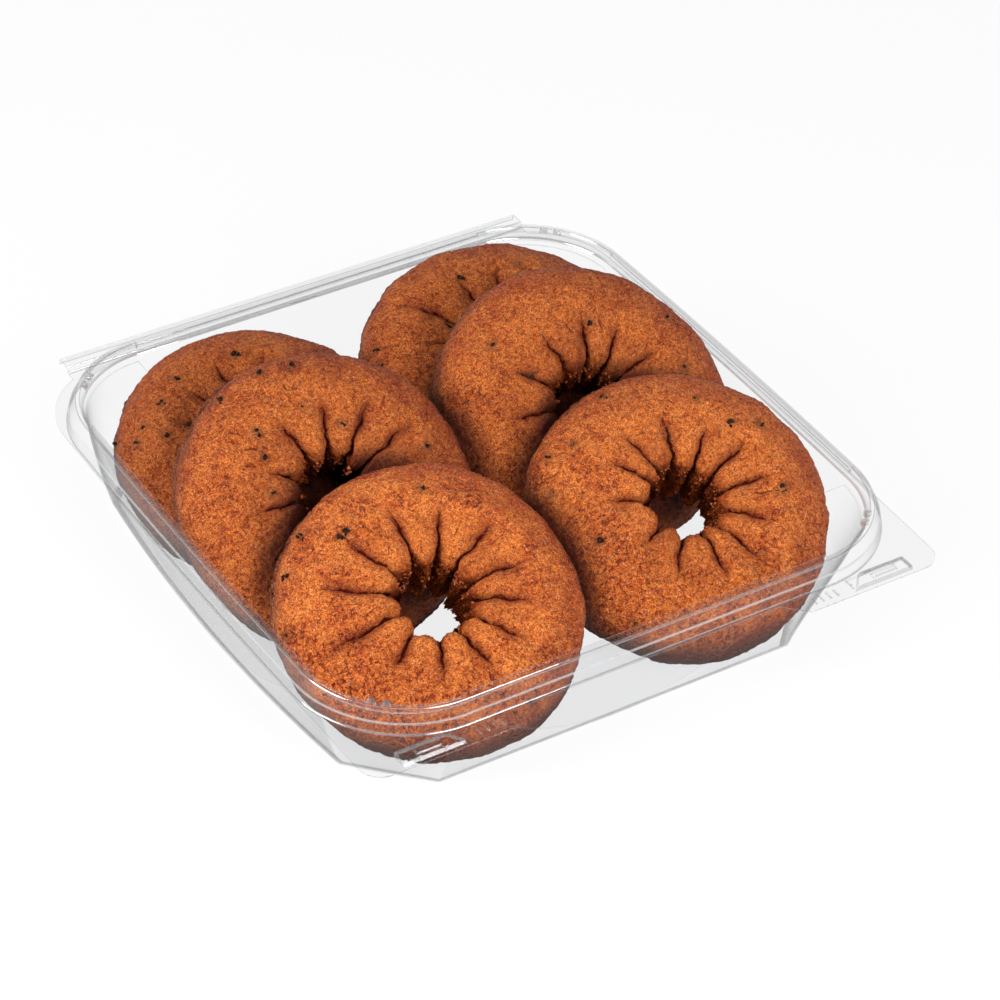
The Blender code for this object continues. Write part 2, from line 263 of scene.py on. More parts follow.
DOUGHNUTS = (
    Doughnut(
        "doughnut_front_left", (-38.5, -41.4, 26.0), 28.2, -15.9, 84.8, 24.8,
        (
            (12, 30), (43, 30), (74, 29), (105, 31), (137, 31), (168, 35), (200, 37), (231, 28),
            (263, 27), (294, 29), (321, 32), (348, 30),
        ),
        (-40, 125),
        ((133, 81), (137, 78), (160, 33), (162, 4), (85, 76), (141, 31), (184, 28), (300, 40)),
        0.04,
    ),
    Doughnut(
        "doughnut_middle_left", (-41.4, 8.6, 30.7), 36.6, -7.1, 85.2, 24.0,
        (
            (26, 33), (52, 32), (80, 29), (114, 27), (151, 22), (184, 26), (214, 28), (245, 27),
            (274, 28), (303, 27), (331, 30), (358, 27),
        ),
        (60, 200),
        (
            (130, 89), (142, 94), (171, 101), (92, 51), (103, 38), (94, 91), (68, 102), (10, 81),
            (123, 26), (147, 15),
        ),
        0.38,
    ),
    Doughnut(
        "doughnut_back_left", (-41.8, 46.0, 22.4), 17.6, -9.7, 81.3, 26.4,
        (
            (12, 27), (41, 28), (70, 27), (104, 26), (132, 25), (163, 27), (194, 26), (222, 28),
            (253, 27), (284, 28), (313, 27), (343, 29),
        ),
        (20, 160),
        ((90, 89), (130, 79), (149, 78), (164, 62), (166, 97), (171, 51), (164, 14), (173, 83)),
        0.52,
    ),
    Doughnut(
        "doughnut_front_right", (42.1, -41.7, 27.9), 28.2, -13.6, 85.6, 25.4,
        (
            (4, 28), (32, 28), (60, 25), (90, 27), (119, 28), (142, 26), (172, 25), (217, 22),
            (247, 27), (280, 29), (305, 30), (333, 28),
        ),
        (-50, 110),
        (
            (124, 21), (111, 47), (141, 64), (166, 48), (149, 40), (45, 87), (355, 85), (352, 88),
            (89, 105), (104, 146), (197, 80), (233, 36), (68, 77), (33, 72),
        ),
        0.20,
    ),
    Doughnut(
        "doughnut_middle_right", (41.9, 7.7, 31.6), 37.2, -10.9, 86.7, 25.0,
        (
            (24, 27), (54, 27), (80, 29), (113, 25), (148, 26), (183, 26), (212, 27), (243, 28),
            (273, 27), (302, 29), (330, 28), (357, 29),
        ),
        (40, 190),
        ((139, 73), (145, 105), (75, 93), (34, 52), (6, 81), (3, 84), (8, 79)),
        0.40,
    ),
    Doughnut(
        "doughnut_back_right", (40.3, 45.4, 23.3), 20.8, -16.0, 85.2, 25.8,
        (
            (23, 27), (54, 28), (83, 31), (109, 29), (142, 39), (169, 27), (198, 26), (229, 28),
            (260, 27), (291, 28), (321, 29), (352, 27),
        ),
        (30, 170),
        ((71, 83), (170, 44), (150, 103), (108, 87), (178, 47)),
        0.42,
    ),
)


# ---- Settings that a user would change


class TraySettings(PropertyGroup):
    bend: FloatProperty(
        name="Bend radius", description="Rounding of the rim's bends", default=0.35 * MM, unit="LENGTH"
    )
    side_steps: IntProperty(
        name="Side steps", description="Stations along half a side", default=20, min=4
    )
    corner_steps: IntProperty(
        name="Corner steps", description="Stations round a corner", default=88, min=24
    )
    clear: FloatVectorProperty(
        name="Sheet colour", description="What the sheet lets through, each time it is crossed",
        subtype="COLOR", default=(0.984, 0.985, 0.987),
    )
    roughness: FloatProperty(
        name="Roughness", description="Blur of the sheet's reflections", default=0.035, min=0, max=1
    )
    # grey of the scuffs, and of the painted dark lines on the bends and edges in place of refraction
    haze: FloatVectorProperty(
        name="Haze colour", description="Colour of the scuffs and of the cut edge",
        subtype="COLOR", default=(0.40, 0.405, 0.41),
    )
    sheet_mirror: FloatProperty(
        name="Face gloss", description="Share of light that a face mirrors, seen straight on",
        default=0.018, min=0, max=1,
    )
    bend_mirror: FloatProperty(
        name="Bend gloss", description="Share of light that a bend mirrors, seen straight on",
        default=0.30, min=0, max=1,
    )


class DoughnutSettings(PropertyGroup):
    columns: IntProperty(name="Columns", description="Steps round the ring", default=520, min=48)
    around: IntProperty(name="Section steps", description="Steps round the section", default=184, min=24)
    pleat_depth: FloatProperty(
        name="Pleat depth", description="Valley between two lobes, at the hole",
        default=4.8 * MM, unit="LENGTH",
    )
    crack_depth: FloatProperty(
        name="Crack depth", description="Sharp split along a crease", default=0.8 * MM, unit="LENGTH"
    )
    grain: FloatProperty(
        name="Grain", description="Height of the crust's grain", default=0.26 * MM, unit="LENGTH"
    )
    golden: FloatVectorProperty(
        name="Lobes", description="Light crust on the lobes", subtype="COLOR",
        default=(0.92, 0.290, 0.052),
    )
    brown: FloatVectorProperty(
        name="Crust", description="Crust further out", subtype="COLOR", default=(0.60, 0.130, 0.023)
    )
    # colour of the painted shade deep in the hole
    dark: FloatVectorProperty(
        name="Hole", description="Deep in the hole", subtype="COLOR",
        default=(0.026, 0.003, 0.002),
    )
    # tan sugar grains, whose light colour is partly painted glints
    sugar: FloatVectorProperty(
        name="Sugar", description="Fine tan grains", subtype="COLOR", default=(0.92, 0.50, 0.26)
    )


class CrumbSettings(PropertyGroup):
    count: IntProperty(name="Crumbs", description="Loose crumbs on each torn edge", default=240, min=0)
    size: FloatProperty(
        name="Crumb size", description="Width of a middling crumb", default=0.8 * MM, unit="LENGTH"
    )
    bit_size: FloatProperty(
        name="Fruit bit size", description="Width of a middling bit", default=3.4 * MM, unit="LENGTH"
    )


class StageSettings(PropertyGroup):
    azimuth: FloatProperty(
        name="Azimuth", description="Camera's side", default=math.radians(33.97), subtype="ANGLE"
    )
    elevation: FloatProperty(
        name="Elevation", description="Camera's height", default=math.radians(37.84), subtype="ANGLE"
    )
    roll: FloatProperty(
        name="Roll", description="Camera's roll", default=math.radians(2.8), subtype="ANGLE"
    )
    distance: FloatProperty(
        name="Distance", description="From the aim point", default=1114.6 * MM, unit="LENGTH"
    )
    aim: FloatVectorProperty(
        name="Aim", description="Point in the middle of the view", subtype="XYZ",
        default=(23.25 * MM, 18.47 * MM, 0.0),
    )
    lens: FloatProperty(name="Lens", description="Focal length in millimetres", default=138.17)
    floor: FloatVectorProperty(
        name="Floor", description="Pale table", subtype="COLOR", default=(0.07, 0.07, 0.0705)
    )
    glow: FloatProperty(name="Floor glow", description="Light that the table gives off", default=0.90)


# ---- Materials


class Value:
    """A number socket that Python's operators turn into Math nodes."""

    def __init__(self, tree, socket):
        self.tree = tree
        self.socket = socket

    def _math(self, operation, *inputs):
        return self.tree.node("ShaderNodeMath", {"operation": operation}, dict(enumerate(inputs)))

    def __add__(self, other):
        return self._math("ADD", self, other)

    __radd__ = __add__

    def __sub__(self, other):
        return self._math("SUBTRACT", self, other)

    def __rsub__(self, other):
        return self._math("SUBTRACT", other, self)

    def __mul__(self, other):
        return self._math("MULTIPLY", self, other)

    __rmul__ = __mul__

    def __pow__(self, other):
        return self._math("POWER", self, other)

    def clamped(self):
        return self.tree.node("ShaderNodeClamp", {}, {"Value": self})


class Nodes:
    """The node tree of a material or a world, with one way to add a node."""

    def __init__(self, owner):
        owner.use_nodes = True
        self.owner = owner
        self.tree = owner.node_tree
        self.tree.nodes.clear()

    def node(self, kind, settings=None, inputs=None, output=0):
        """Adds a node, sets it up and links it. Returns one of its outputs, if it has any."""
        made = self.tree.nodes.new(kind)
        for name, setting in (settings or {}).items():
            if name == "stops":
                self._stops(made.color_ramp, setting)
            else:
                setattr(made, name, setting)
        for name, value in (inputs or {}).items():
            socket = self._socket(made, name)
            if isinstance(value, Value):
                self.tree.links.new(value.socket, socket)
            elif isinstance(value, (tuple, list)) and len(value) == 3 and socket.type == "RGBA":
                socket.default_value = (*value, 1.0)
            else:
                socket.default_value = value
        return Value(self, made.outputs[output]) if made.outputs else None

    @staticmethod
    def _socket(made, name):
        """The enabled input of that name or number: a Mix node has one A for each data type."""
        if isinstance(name, int):
            return made.inputs[name]
        return next(s for s in made.inputs if s.name == name and s.enabled)

    @staticmethod
    def _stops(ramp, stops):
        while len(ramp.elements) < len(stops):
            ramp.elements.new(1.0)
        for element, (place, value) in zip(ramp.elements, stops):
            element.position = place
            element.color = (value, value, value, 1.0)

    def place(self):
        """Object coordinates in millimetres."""
        where = self.node("ShaderNodeTexCoord", output=3)
        return self.node("ShaderNodeMapping", {}, {"Vector": where, "Scale": (PER_MM,) * 3})

    def noise(self, place, width, detail=2.0, roughness=0.5, distortion=0.0):
        """Smooth noise from 0 to 1 with features of so many millimetres."""
        return self.node(
            "ShaderNodeTexNoise", {},
            {
                "Vector": place, "Scale": 1 / width, "Detail": detail, "Roughness": roughness,
                "Distortion": distortion,
            },
        )

    def cells(self, place, width, output="Distance"):
        """Distance to the nearest of scattered points, in cell widths, or that cell's own colour."""
        index = {"Distance": 0, "Color": 1}[output]
        return self.node(
            "ShaderNodeTexVoronoi", {}, {"Vector": place, "Scale": 1 / width}, output=index
        )

    def ramp(self, value, *stops):
        return self.node("ShaderNodeValToRGB", {"stops": stops}, {"Fac": value})

    def attribute(self, name):
        return self.node("ShaderNodeAttribute", {"attribute_name": name}, {}, output=2)

    def blend(self, factor, a, b, mode="MIX"):
        """Colour a where factor is 0 and colour b where it is 1."""
        return self.node(
            "ShaderNodeMix", {"data_type": "RGBA", "blend_type": mode},
            {"Factor": factor, "A": a, "B": b}, output=2,
        )

    def tint(self, factor, base, colour):
        """The base, multiplied with colour as far as factor says."""
        return self.blend(factor, base, colour, "MULTIPLY")

    def scale(self, colour, factor):
        return self.node(
            "ShaderNodeVectorMath", {"operation": "SCALE"}, {"Vector": colour, "Scale": factor}
        )

    def principled(self, inputs):
        return self.node("ShaderNodeBsdfPrincipled", {}, inputs)

    def bump(self, height, distance, normal=None):
        inputs = {"Height": height, "Distance": distance * MM}
        if normal is not None:
            inputs["Normal"] = normal
        return self.node("ShaderNodeBump", {}, inputs)

    def finish(self, shader, output="ShaderNodeOutputMaterial"):
        self.node(output, {}, {"Surface": shader})
        return self.owner


def clear_plastic(name, settings, mirror, shine, body):
    """Thin clear sheet. shine is the tint of its reflections, body the share of its own haze: grey
    scuffs, and on the bends and edges partly painted dark lines in place of the lines that refraction
    draws there.
    """
    nodes = Nodes(bpy.data.materials.new(name))
    place = nodes.place()
    facing = nodes.node("ShaderNodeLayerWeight", {}, {"Blend": 0.5}, output=1)
    waves = nodes.bump(nodes.noise(place, 9.0), 0.05)
    see_through = nodes.node("ShaderNodeBsdfTransparent", {}, {"Color": tuple(settings.clear)})
    gloss = nodes.node(
        "ShaderNodeBsdfGlossy", {},
        {"Color": (shine,) * 3, "Roughness": settings.roughness, "Normal": waves},
    )
    glare = facing**5 * (GRAZING_MIRROR - mirror) + mirror
    sheet = nodes.node("ShaderNodeMixShader", {}, {0: glare, 1: see_through, 2: gloss})
    haze = nodes.principled({"Base Color": tuple(settings.haze), "Roughness": 0.25})
    scuffs = nodes.ramp(nodes.noise(place, 3.0, detail=4.0, roughness=0.7), (0.4, 0.4), (0.75, 1.6))
    cover = (scuffs * body).clamped()
    return nodes.finish(nodes.node("ShaderNodeMixShader", {}, {0: cover, 1: sheet, 2: haze}))


def crust_textures(nodes):
    """The noises that several layers of the crust share, and the place they are read at."""
    place = nodes.place()
    return SimpleNamespace(
        place=place,
        blotches=nodes.noise(place, 2.2, detail=4.0, roughness=0.7),
        mottle=nodes.noise(place, 1.3, detail=2.0, roughness=0.6),
        pits=nodes.noise(place, 1.0, detail=3.0, roughness=0.8, distortion=0.8),
        grain=nodes.noise(place, 0.40, detail=2.0, roughness=0.7),
    )


def browned(nodes, at, texture, settings):
    """Golden where the crust faces the hole, more golden on the side turned to the light as painted
    light, red-brown further out, and dark red-brown beneath as painted shade.
    """
    patches = nodes.noise(texture.place, 8.0, detail=3.0, roughness=0.6)
    warm = at.inward * 0.40 + at.upward * 0.3 + patches * 1.1 + (at.sunny - 0.5) * 0.4
    golden = nodes.ramp(warm, (0.62, 0.0), (1.0, 1.0))
    base = nodes.blend(golden, tuple(settings.brown), tuple(settings.golden))
    blotch = nodes.ramp(texture.blotches, (0.42, 0.8), (0.56, 0.0)) * (at.rough * 0.6 + 0.25)
    base = nodes.blend(blotch, base, BLOTCH)
    base = nodes.tint(nodes.ramp(texture.mottle, (0.36, 0.75), (0.58, 0.0)), base, MOTTLE_TINT)
    base = nodes.tint(at.rough * 0.4, base, ROUGH_TINT)
    # painted shade beneath: the underside is darkened
    return nodes.blend(nodes.ramp(at.upward, (0.46, 0.92), (0.72, 0.0)), base, UNDERSIDE_SHADE)


def crazing(nodes, texture):
    """A patchy net of fine cracks, 1 on a crack."""
    swirl = nodes.node(
        "ShaderNodeTexNoise", {}, {"Vector": texture.place, "Scale": 0.5, "Detail": 2.0}, output=1
    )
    bent = nodes.node(
        "ShaderNodeVectorMath", {"operation": "MULTIPLY_ADD"},
        {0: swirl, 1: (3.0,) * 3, 2: texture.place},
    )
    net = nodes.node(
        "ShaderNodeTexVoronoi", {"feature": "DISTANCE_TO_EDGE"}, {"Vector": bent, "Scale": 0.42}
    )
    patchy = nodes.ramp(texture.mottle, (0.44, 1.0), (0.50, 0.0))
    return nodes.ramp(net, (0.05, 1.0), (0.10, 0.0)) * patchy


def sugar_grains_and_glints(nodes, texture):
    """Scattered fine sugar grains, 1 on a grain. Their light colour is partly real sugar and partly
    painted glints.
    """
    grains = nodes.ramp(nodes.cells(texture.place, 0.55), (0.22, 1.0), (0.42, 0.0))
    kept = nodes.ramp(nodes.cells(texture.place, 0.55, "Color"), (0.55, 0.0), (0.75, 0.8))
    return grains * kept


def grained(nodes, at, texture, base, settings):
    """Cracks, grain, sugar and pits over the browned crust."""
    base = nodes.blend(crazing(nodes, texture) * (at.rough * 0.6 + 0.4), base, CRACK)
    split = nodes.ramp(at.cracks + (texture.pits - 0.5) * 1.1, (0.36, 0.0), (0.66, 0.85))
    base = nodes.blend(split, base, SPLIT)
    coarse = 1.15 - at.inward * 0.5
    low_grain = nodes.ramp(texture.grain, (0.36, 1.0), (0.54, 0.0)) * coarse
    base = nodes.tint(low_grain.clamped(), base, GRAIN_TINT)
    base = nodes.scale(base, (texture.grain - 0.5) * coarse * 2.0 + 1.16)
    base = nodes.blend(sugar_grains_and_glints(nodes, texture), base, tuple(settings.sugar))
    pitted = nodes.ramp(texture.pits, (0.385, 0.95), (0.42, 0.0)) * (at.rough * 0.4 + 0.5)
    return nodes.blend(pitted, base, CRACK)


def creased(nodes, at, texture, base, crease):
    """Painted shade on the flanks on both sides of each crease, and the crease's dark line: a split,
    with painted shade in the crease.
    """
    flank = at.flank + (texture.blotches - 0.5) * 0.5 + (texture.mottle - 0.5) * 0.3
    # painted shade on the flanks beside the creases
    base = nodes.tint(nodes.ramp(flank, (0.10, 0.0), (0.95, 1.0)), base, FLANK_SHADE_TINT)
    return nodes.blend(crease, base, CREASE_SPLIT_SHADE)


def painted_shade_and_stains(nodes, at, texture, base, settings):
    """Painted shade by neighbours, by the floor and into the hole, with each doughnut's own tone,
    toasted lobes, torn crumb and stained crust.
    """
    dark = tuple(settings.dark)
    base = nodes.tint(at.shade, base, SHADE_TINT)
    # painted shade where a neighbour or its hole covers the crust
    base = nodes.tint(at.crowded * at.crowded * 0.95, base, CROWD_SHADE_TINT)
    # painted shade on the crust near the tray's floor
    base = nodes.tint(at.low * 0.9, base, FLOOR_SHADE_TINT)
    # toasted lobes, and painted shade where the lobes turn into the hole
    toast_and_hole_shade = nodes.ramp(at.hole, (0.02, 0.0), (0.60, 0.85)) + at.toasted * 0.45
    base = nodes.tint(toast_and_hole_shade.clamped(), base, TOAST_AND_HOLE_SHADE_TINT)
    # painted shade deep in the hole, also over the torn crumb there
    base = nodes.blend(nodes.ramp(at.hole, (0.55, 0.0), (0.90, 0.96)), base, dark)
    crumb = nodes.blend(nodes.ramp(texture.grain, (0.42, 0.0), (0.60, 1.0)), *CRUMB_RANGE)
    base = nodes.blend(at.torn * 0.94, base, nodes.blend(at.hole * 0.25, crumb, dark))
    return nodes.blend(at.stain * 0.6, base, STAIN)


def crust_material(settings):
    """Fried cake crust: golden lobes, redder outside, dark creases and pits with painted shade in the
    creases, fine sugary grain with painted glints.
    """
    nodes = Nodes(bpy.data.materials.new("fried_crust"))
    at = SimpleNamespace(**{name: nodes.attribute(name) for name in CRUST_FIELDS})
    texture = crust_textures(nodes)
    ragged = (texture.pits - 0.5) * 1.1 + (texture.mottle - 0.5) * 0.9
    # the dark line along each crease: a split, partly painted shade in the crease
    crease = nodes.ramp(at.crease + ragged, (0.08, 0.9), (0.30, 0.0))
    base = browned(nodes, at, texture, settings)
    base = grained(nodes, at, texture, base, settings)
    base = creased(nodes, at, texture, base, crease)
    base = painted_shade_and_stains(nodes, at, texture, base, settings)

    relief = nodes.bump(texture.grain, 0.5)
    relief = nodes.bump(texture.pits, 1.1, relief)
    relief = nodes.bump(texture.blotches, 1.2, relief)
    skin = nodes.principled(
        {
            "Base Color": base, "Roughness": (0.72 - texture.grain * 0.3).clamped(),
            "Normal": relief, "IOR": 1.45, "Specular IOR Level": 0.22, "Sheen Weight": 0.05,
            "Sheen Roughness": 0.4,
        }
    )
    matte = nodes.principled(
        {"Base Color": base, "Roughness": 1.0, "Specular IOR Level": 0.0, "Normal": relief}
    )
    # no gloss in the hole, in the creases, near the floor and on torn crumb, which keeps the painted
    # shade there dark
    dull = (at.hole + crease + at.low * 0.6 + at.torn * 0.5).clamped()
    return nodes.finish(nodes.node("ShaderNodeMixShader", {}, {0: dull, 1: skin, 2: matte}))


def crumb_material():
    nodes = Nodes(bpy.data.materials.new("torn_crumb"))
    place = nodes.place()
    patches = nodes.ramp(nodes.noise(place, 1.6, detail=2.0), (0.4, 0.0), (0.62, 1.0))
    base = nodes.blend(patches, (0.16, 0.022, 0.006), (0.62, 0.16, 0.035))
    relief = nodes.bump(nodes.noise(place, 0.4, detail=2.0), 0.2)
    return nodes.finish(nodes.principled({"Base Color": base, "Roughness": 0.75, "Normal": relief}))


def fruit_material():
    nodes = Nodes(bpy.data.materials.new("dried_fruit"))
    patches = nodes.noise(nodes.place(), 0.9, detail=3.0)
    pale = nodes.ramp(patches, (0.42, 0.0), (0.66, 1.0))
    skin = nodes.principled(
        {
            "Base Color": nodes.blend(pale, (0.006, 0.004, 0.004), (0.05, 0.022, 0.010)),
            "Roughness": 0.6, "Specular IOR Level": 0.08, "Normal": nodes.bump(patches, 0.5),
        }
    )
    return nodes.finish(skin)


def floor_material(settings):
    """White table, lit from below as well, so that its shadows stay faint."""
    nodes = Nodes(bpy.data.materials.new("pale_floor"))
    cloud = nodes.noise(nodes.place(), 180.0, detail=2.0)
    pale = tuple(settings.floor)
    base = nodes.blend(cloud, pale, tuple(c * 1.02 for c in pale))
    matte = nodes.principled(
        {
            "Base Color": base, "Roughness": 0.9, "Emission Color": (1.0, 1.0, 1.0),
            "Emission Strength": settings.glow,
        }
    )
    return nodes.finish(matte)


# ---- Small helpers


def mix(a, b, share):
    return a + (b - a) * share


def fade(value, low, high):
    """0 at low, 1 at high, and smooth between."""
    share = np.clip((value - low) / (high - low), 0.0, 1.0)
    return share * share * (3 - 2 * share)


def rough_field(points, width, octaves, seed):
    """Fractal noise at each point, about -1 to 1, with features of so many millimetres."""
    shifted = points / width + seed * 7.31
    return np.array([noise.fractal(p, 1.0, 2.0, octaves) for p in shifted.tolist()])


def make_object(name, mesh, material, slot, *nodes):
    """Turns a bmesh into a piece that rides with the object and stands for the CAD nodes."""
    data = bpy.data.meshes.new(name)
    mesh.to_mesh(data)
    mesh.free()
    piece = bpy.data.objects.new(name, data)
    bpy.context.scene.collection.objects.link(piece)
    data.materials.append(material)
    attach(piece, "root")
    if nodes:
        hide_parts(*nodes)
    return piece


# ---- Tray


def arc(cx, cy, radius, first, last, steps):
    """Points on an arc, both ends included."""
    angles = [math.radians(mix(first, last, i / steps)) for i in range(steps + 1)]
    return [(cx + radius * math.cos(a), cy + radius * math.sin(a)) for a in angles]


def straight(start, end, steps):
    """Points from start to just before end."""
    return [
        (mix(start[0], end[0], i / steps), mix(start[1], end[1], i / steps)) for i in range(steps)
    ]


def bowed(points, bow, half_x, half_y):
    """The outline with its left and right sides swelled by bow at their middle."""
    return [(x * (1 + bow / half_x * max(0.0, 1 - (y / half_y) ** 2)), y) for x, y in points]


class Outlines:
    """The right half of the tray's outlines, from the front's middle to the back's middle.

    All of them have the same number of points, so that rows of them join into a skin.
    """

    def __init__(self, side_steps, corner_steps):
        self.corner = corner_steps
        self.half = self.swept(0, 90, side_steps)
        self.full = self.swept(-90, 90, 2 * side_steps)
        corner = [1.0] * (corner_steps - 1)
        along = self.half + corner + self.full + corner + self.half[::-1]
        self.stations = [abs(s) for s in along]
        first, last, again, end = (round(angle / 90 * corner_steps) for angle in LUG_ANGLES)
        lugs = {*range(first, last + 1), *range(again, end + 1)}
        set_back = [LUG_SHARE if i in lugs else 1.0 for i in range(1, corner_steps)]
        self.set_back = [0.0] * len(self.half) + set_back + [0.0] * len(self.full)
        self.set_back += set_back + [0.0] * len(self.half)

    @staticmethod
    def swept(first, last, steps):
        """Sines of evenly stepped angles: stations crowd towards the ends of a side."""
        return [math.sin(math.radians(mix(first, last, i / steps))) for i in range(steps + 1)]

    def rim(self, out):
        """The rim's inner edge, moved out by so much."""
        hx, hy, radius = RIM_HALF_X + out, RIM_HALF_Y + out, RIM_RADIUS + out
        cx, cy = hx - radius, hy - radius
        points = [(s * cx, -hy) for s in self.half[:-1]]
        points += arc(cx, -cy, radius, -90, 0, self.corner)
        points += [(hx, s * cy) for s in self.full[1:-1]]
        points += arc(cx, cy, radius, 0, 90, self.corner)
        points += [(s * cx, hy) for s in self.half[-2::-1]]
        return bowed(points, SIDE_BOW, hx, hy)

    def edge(self, out):
        """The rim's inner edge, which stands back round the corners, but for its lugs."""
        return [
            (mix(a[0], b[0], share), mix(a[1], b[1], share))
            for a, b, share in zip(self.rim(out), self.rim(out + RECESS), self.set_back)
        ]

    def floor(self, inset=0.0):
        """Where the walls' faces would meet the floor."""
        front_x, front_y = FLOOR_HALF_X - FLOOR_CHAMFER, FLOOR_HALF_Y - FLOOR_CHAMFER
        radius = FLOOR_BACK_RADIUS
        back_x, back_y = FLOOR_HALF_X - radius, FLOOR_HALF_Y - radius
        points = [(s * front_x, -FLOOR_HALF_Y) for s in self.half[:-1]]
        points += straight((front_x, -FLOOR_HALF_Y), (FLOOR_HALF_X, -front_y), self.corner)
        points += [
            (FLOOR_HALF_X + FLOOR_BOW * (1 - s * s), mix(-front_y, back_y, (1 + s) / 2))
            for s in self.full[:-1]
        ]
        points += arc(back_x, back_y, radius, 0, 90, self.corner)
        points += [(s * back_x, FLOOR_HALF_Y) for s in self.half[-2::-1]]
        share = 1 - inset / FLOOR_HALF_Y
        return [(x * share, y * share) for x, y in points]

    def lip(self):
        """The flange's outer edge: a tab at the front corner and a round corner at the back."""
        hx, hy = RIM_HALF_X + LIP_OUT, RIM_HALF_Y + LIP_OUT
        side_y = RIM_HALF_Y - RIM_RADIUS
        side_x = RIM_HALF_X - RIM_RADIUS
        tab_x, tab_y = TAB_HALF_X - TAB_RADIUS, TAB_Y - TAB_RADIUS
        flat = (len(self.half) - 1) // 2
        rest = len(self.half) - 1 - flat
        slant = rest // 2
        points = [(s / self.half[flat] * TAB_STEP_X[0], -hy) for s in self.half[: flat + 1]]
        points += straight((TAB_STEP_X[0], -hy), (TAB_STEP_X[1], -TAB_Y), slant)[1:]
        points += straight((TAB_STEP_X[1], -TAB_Y), (side_x, -TAB_Y), rest - slant)
        third = self.corner // 3
        points += straight((side_x, -TAB_Y), (tab_x, -TAB_Y), third)
        points += arc(tab_x, -tab_y, TAB_RADIUS, -90, 0, third)[:-1]
        points += straight((TAB_HALF_X, -tab_y), (hx, -side_y), self.corner - 2 * third)
        points += [(hx, s * side_y) for s in self.full[:-1]]
        radius = BACK_LIP_RADIUS
        cx, cy = hx - radius, hy - radius
        hinge_end = math.degrees(math.acos((HINGE_HALF_X - cx) / radius))
        before = round(self.corner * hinge_end / 90)
        points += [(hx, side_y)]
        points += arc(cx, cy, radius, 0, hinge_end, before - 1)[:-1]
        points += arc(cx, cy, radius, hinge_end, 90, self.corner - before)
        points += [(s * side_x, hy) for s in self.half[::-1]]
        return bowed(points, SIDE_BOW, hx, hy)


def rounded(profile, radius, steps=4):
    """The polyline with each inner corner rounded, and the finish that follows each point."""
    made = [(profile[0], FACE)]
    for before, corner, after in zip(profile, profile[1:], profile[2:]):
        into, out = (Vector(p) - Vector(corner) for p in (before, after))
        if abs(into.normalized().cross(out.normalized())) < STRAIGHT:
            made.append((corner, FACE))
            continue
        reach = min(radius, into.length * 0.45, out.length * 0.45)
        middle = Vector(corner)
        first, last = middle + into.normalized() * reach, middle + out.normalized() * reach
        for i in range(steps + 1):
            t = i / steps
            point = first * (1 - t) ** 2 + middle * 2 * t * (1 - t) + last * t * t
            made.append((tuple(point), BEND if i < steps else FACE))
    return [*made, (profile[-1], FACE)]


def wall_rows(outlines):
    """Rows of points up the walls, each with the finish of the faces above it.

    One row follows the arched crease, and the others share out the wall below and above it.
    """
    foot_z = SHEET
    top_z = RIM_TOP - BAND_DROP - LEDGE_DROP
    feet, tops = outlines.floor(), outlines.rim(-LEDGE)
    rows = [([], FACE) for _ in range(ROWS_BELOW + ROWS_ABOVE + 2)]
    rows[ROWS_BELOW] = ([], EDGE)
    for foot, top, station in zip(feet, tops, outlines.stations):
        foot, top = Vector((*foot, foot_z)), Vector((*top, top_z))
        height = top_z - foot_z
        arch = mix(ARCH_FOOT, top_z - ARCH_TOP_GAP, station**ARCH_POWER)
        rise = (arch - foot_z) / height
        fillet = min(FLOOR_FILLET / height, rise * 0.5)
        half_line = CREASE_WIDTH / height / 2
        outward = (top - foot).xy.normalized().to_3d()
        lower = [mix(fillet, rise - half_line, i / (ROWS_BELOW - 1)) for i in range(ROWS_BELOW)]
        upper = [mix(rise + half_line, 1.0, i / ROWS_ABOVE) for i in range(ROWS_ABOVE + 1)]
        for (row, _), share in zip(rows, lower + [rise] + upper):
            inside = min(1.0, share / rise)
            belly = 4 * CORNER_BELLY * rise * inside * (1 - inside)
            row.append(mix(foot, top, share) + outward * belly)
    return rows


def at_height(outline, z):
    return [Vector((x, y, z)) for x, y in outline]


def tray_rows(outlines, bend):
    """All rows of the sheet's upper face, from the floor's edge to the lip."""
    floor_z = SHEET
    rows = [
        (at_height(outlines.floor(FLOOR_FILLET), floor_z), BEND),
        (at_height(outlines.floor(FLOOR_FILLET * 0.35), floor_z + FLOOR_FILLET * 0.22), BEND),
    ]
    rows += wall_rows(outlines)[:-1]
    ledge_z = RIM_TOP - BAND_DROP
    profile = [
        (-LEDGE, ledge_z - LEDGE_DROP), (0.0, ledge_z), (0.0, RIM_TOP - EDGE_REACH), (0.0, RIM_TOP),
        (EDGE_REACH, RIM_TOP), (LAND, RIM_TOP), (SLOPE_OUT, RIM_TOP - SLOPE_DROP),
        (SKIRT_OUT, FLANGE_Z), (LIP_OUT, FLANGE_Z),
    ]
    section = rounded(profile, bend)
    for (out, z), finish in section[:-1]:
        at_edge = max(abs(out), RIM_TOP - z) < NEAR_EDGE
        outline = outlines.edge(out) if at_edge else outlines.rim(out)
        rows.append((at_height(outline, z), finish))
    rows.append((at_height(outlines.lip(), FLANGE_Z), FACE))
    return rows


def skin(mesh, lower, upper, material):
    for a, b, c, d in zip(lower, lower[1:], upper[1:], upper):
        mesh.faces.new((a, b, c, d)).material_index = material


def mark_steps(row, set_back):
    """The faces round the rim's edge where it steps in or out get the bends' finish."""
    for a, b, before, after in zip(row, row[1:], set_back, set_back[1:]):
        if before != after or before < 0:
            for face in set(a.link_faces) & set(b.link_faces):
                face.material_index = BEND if before != after else EDGE


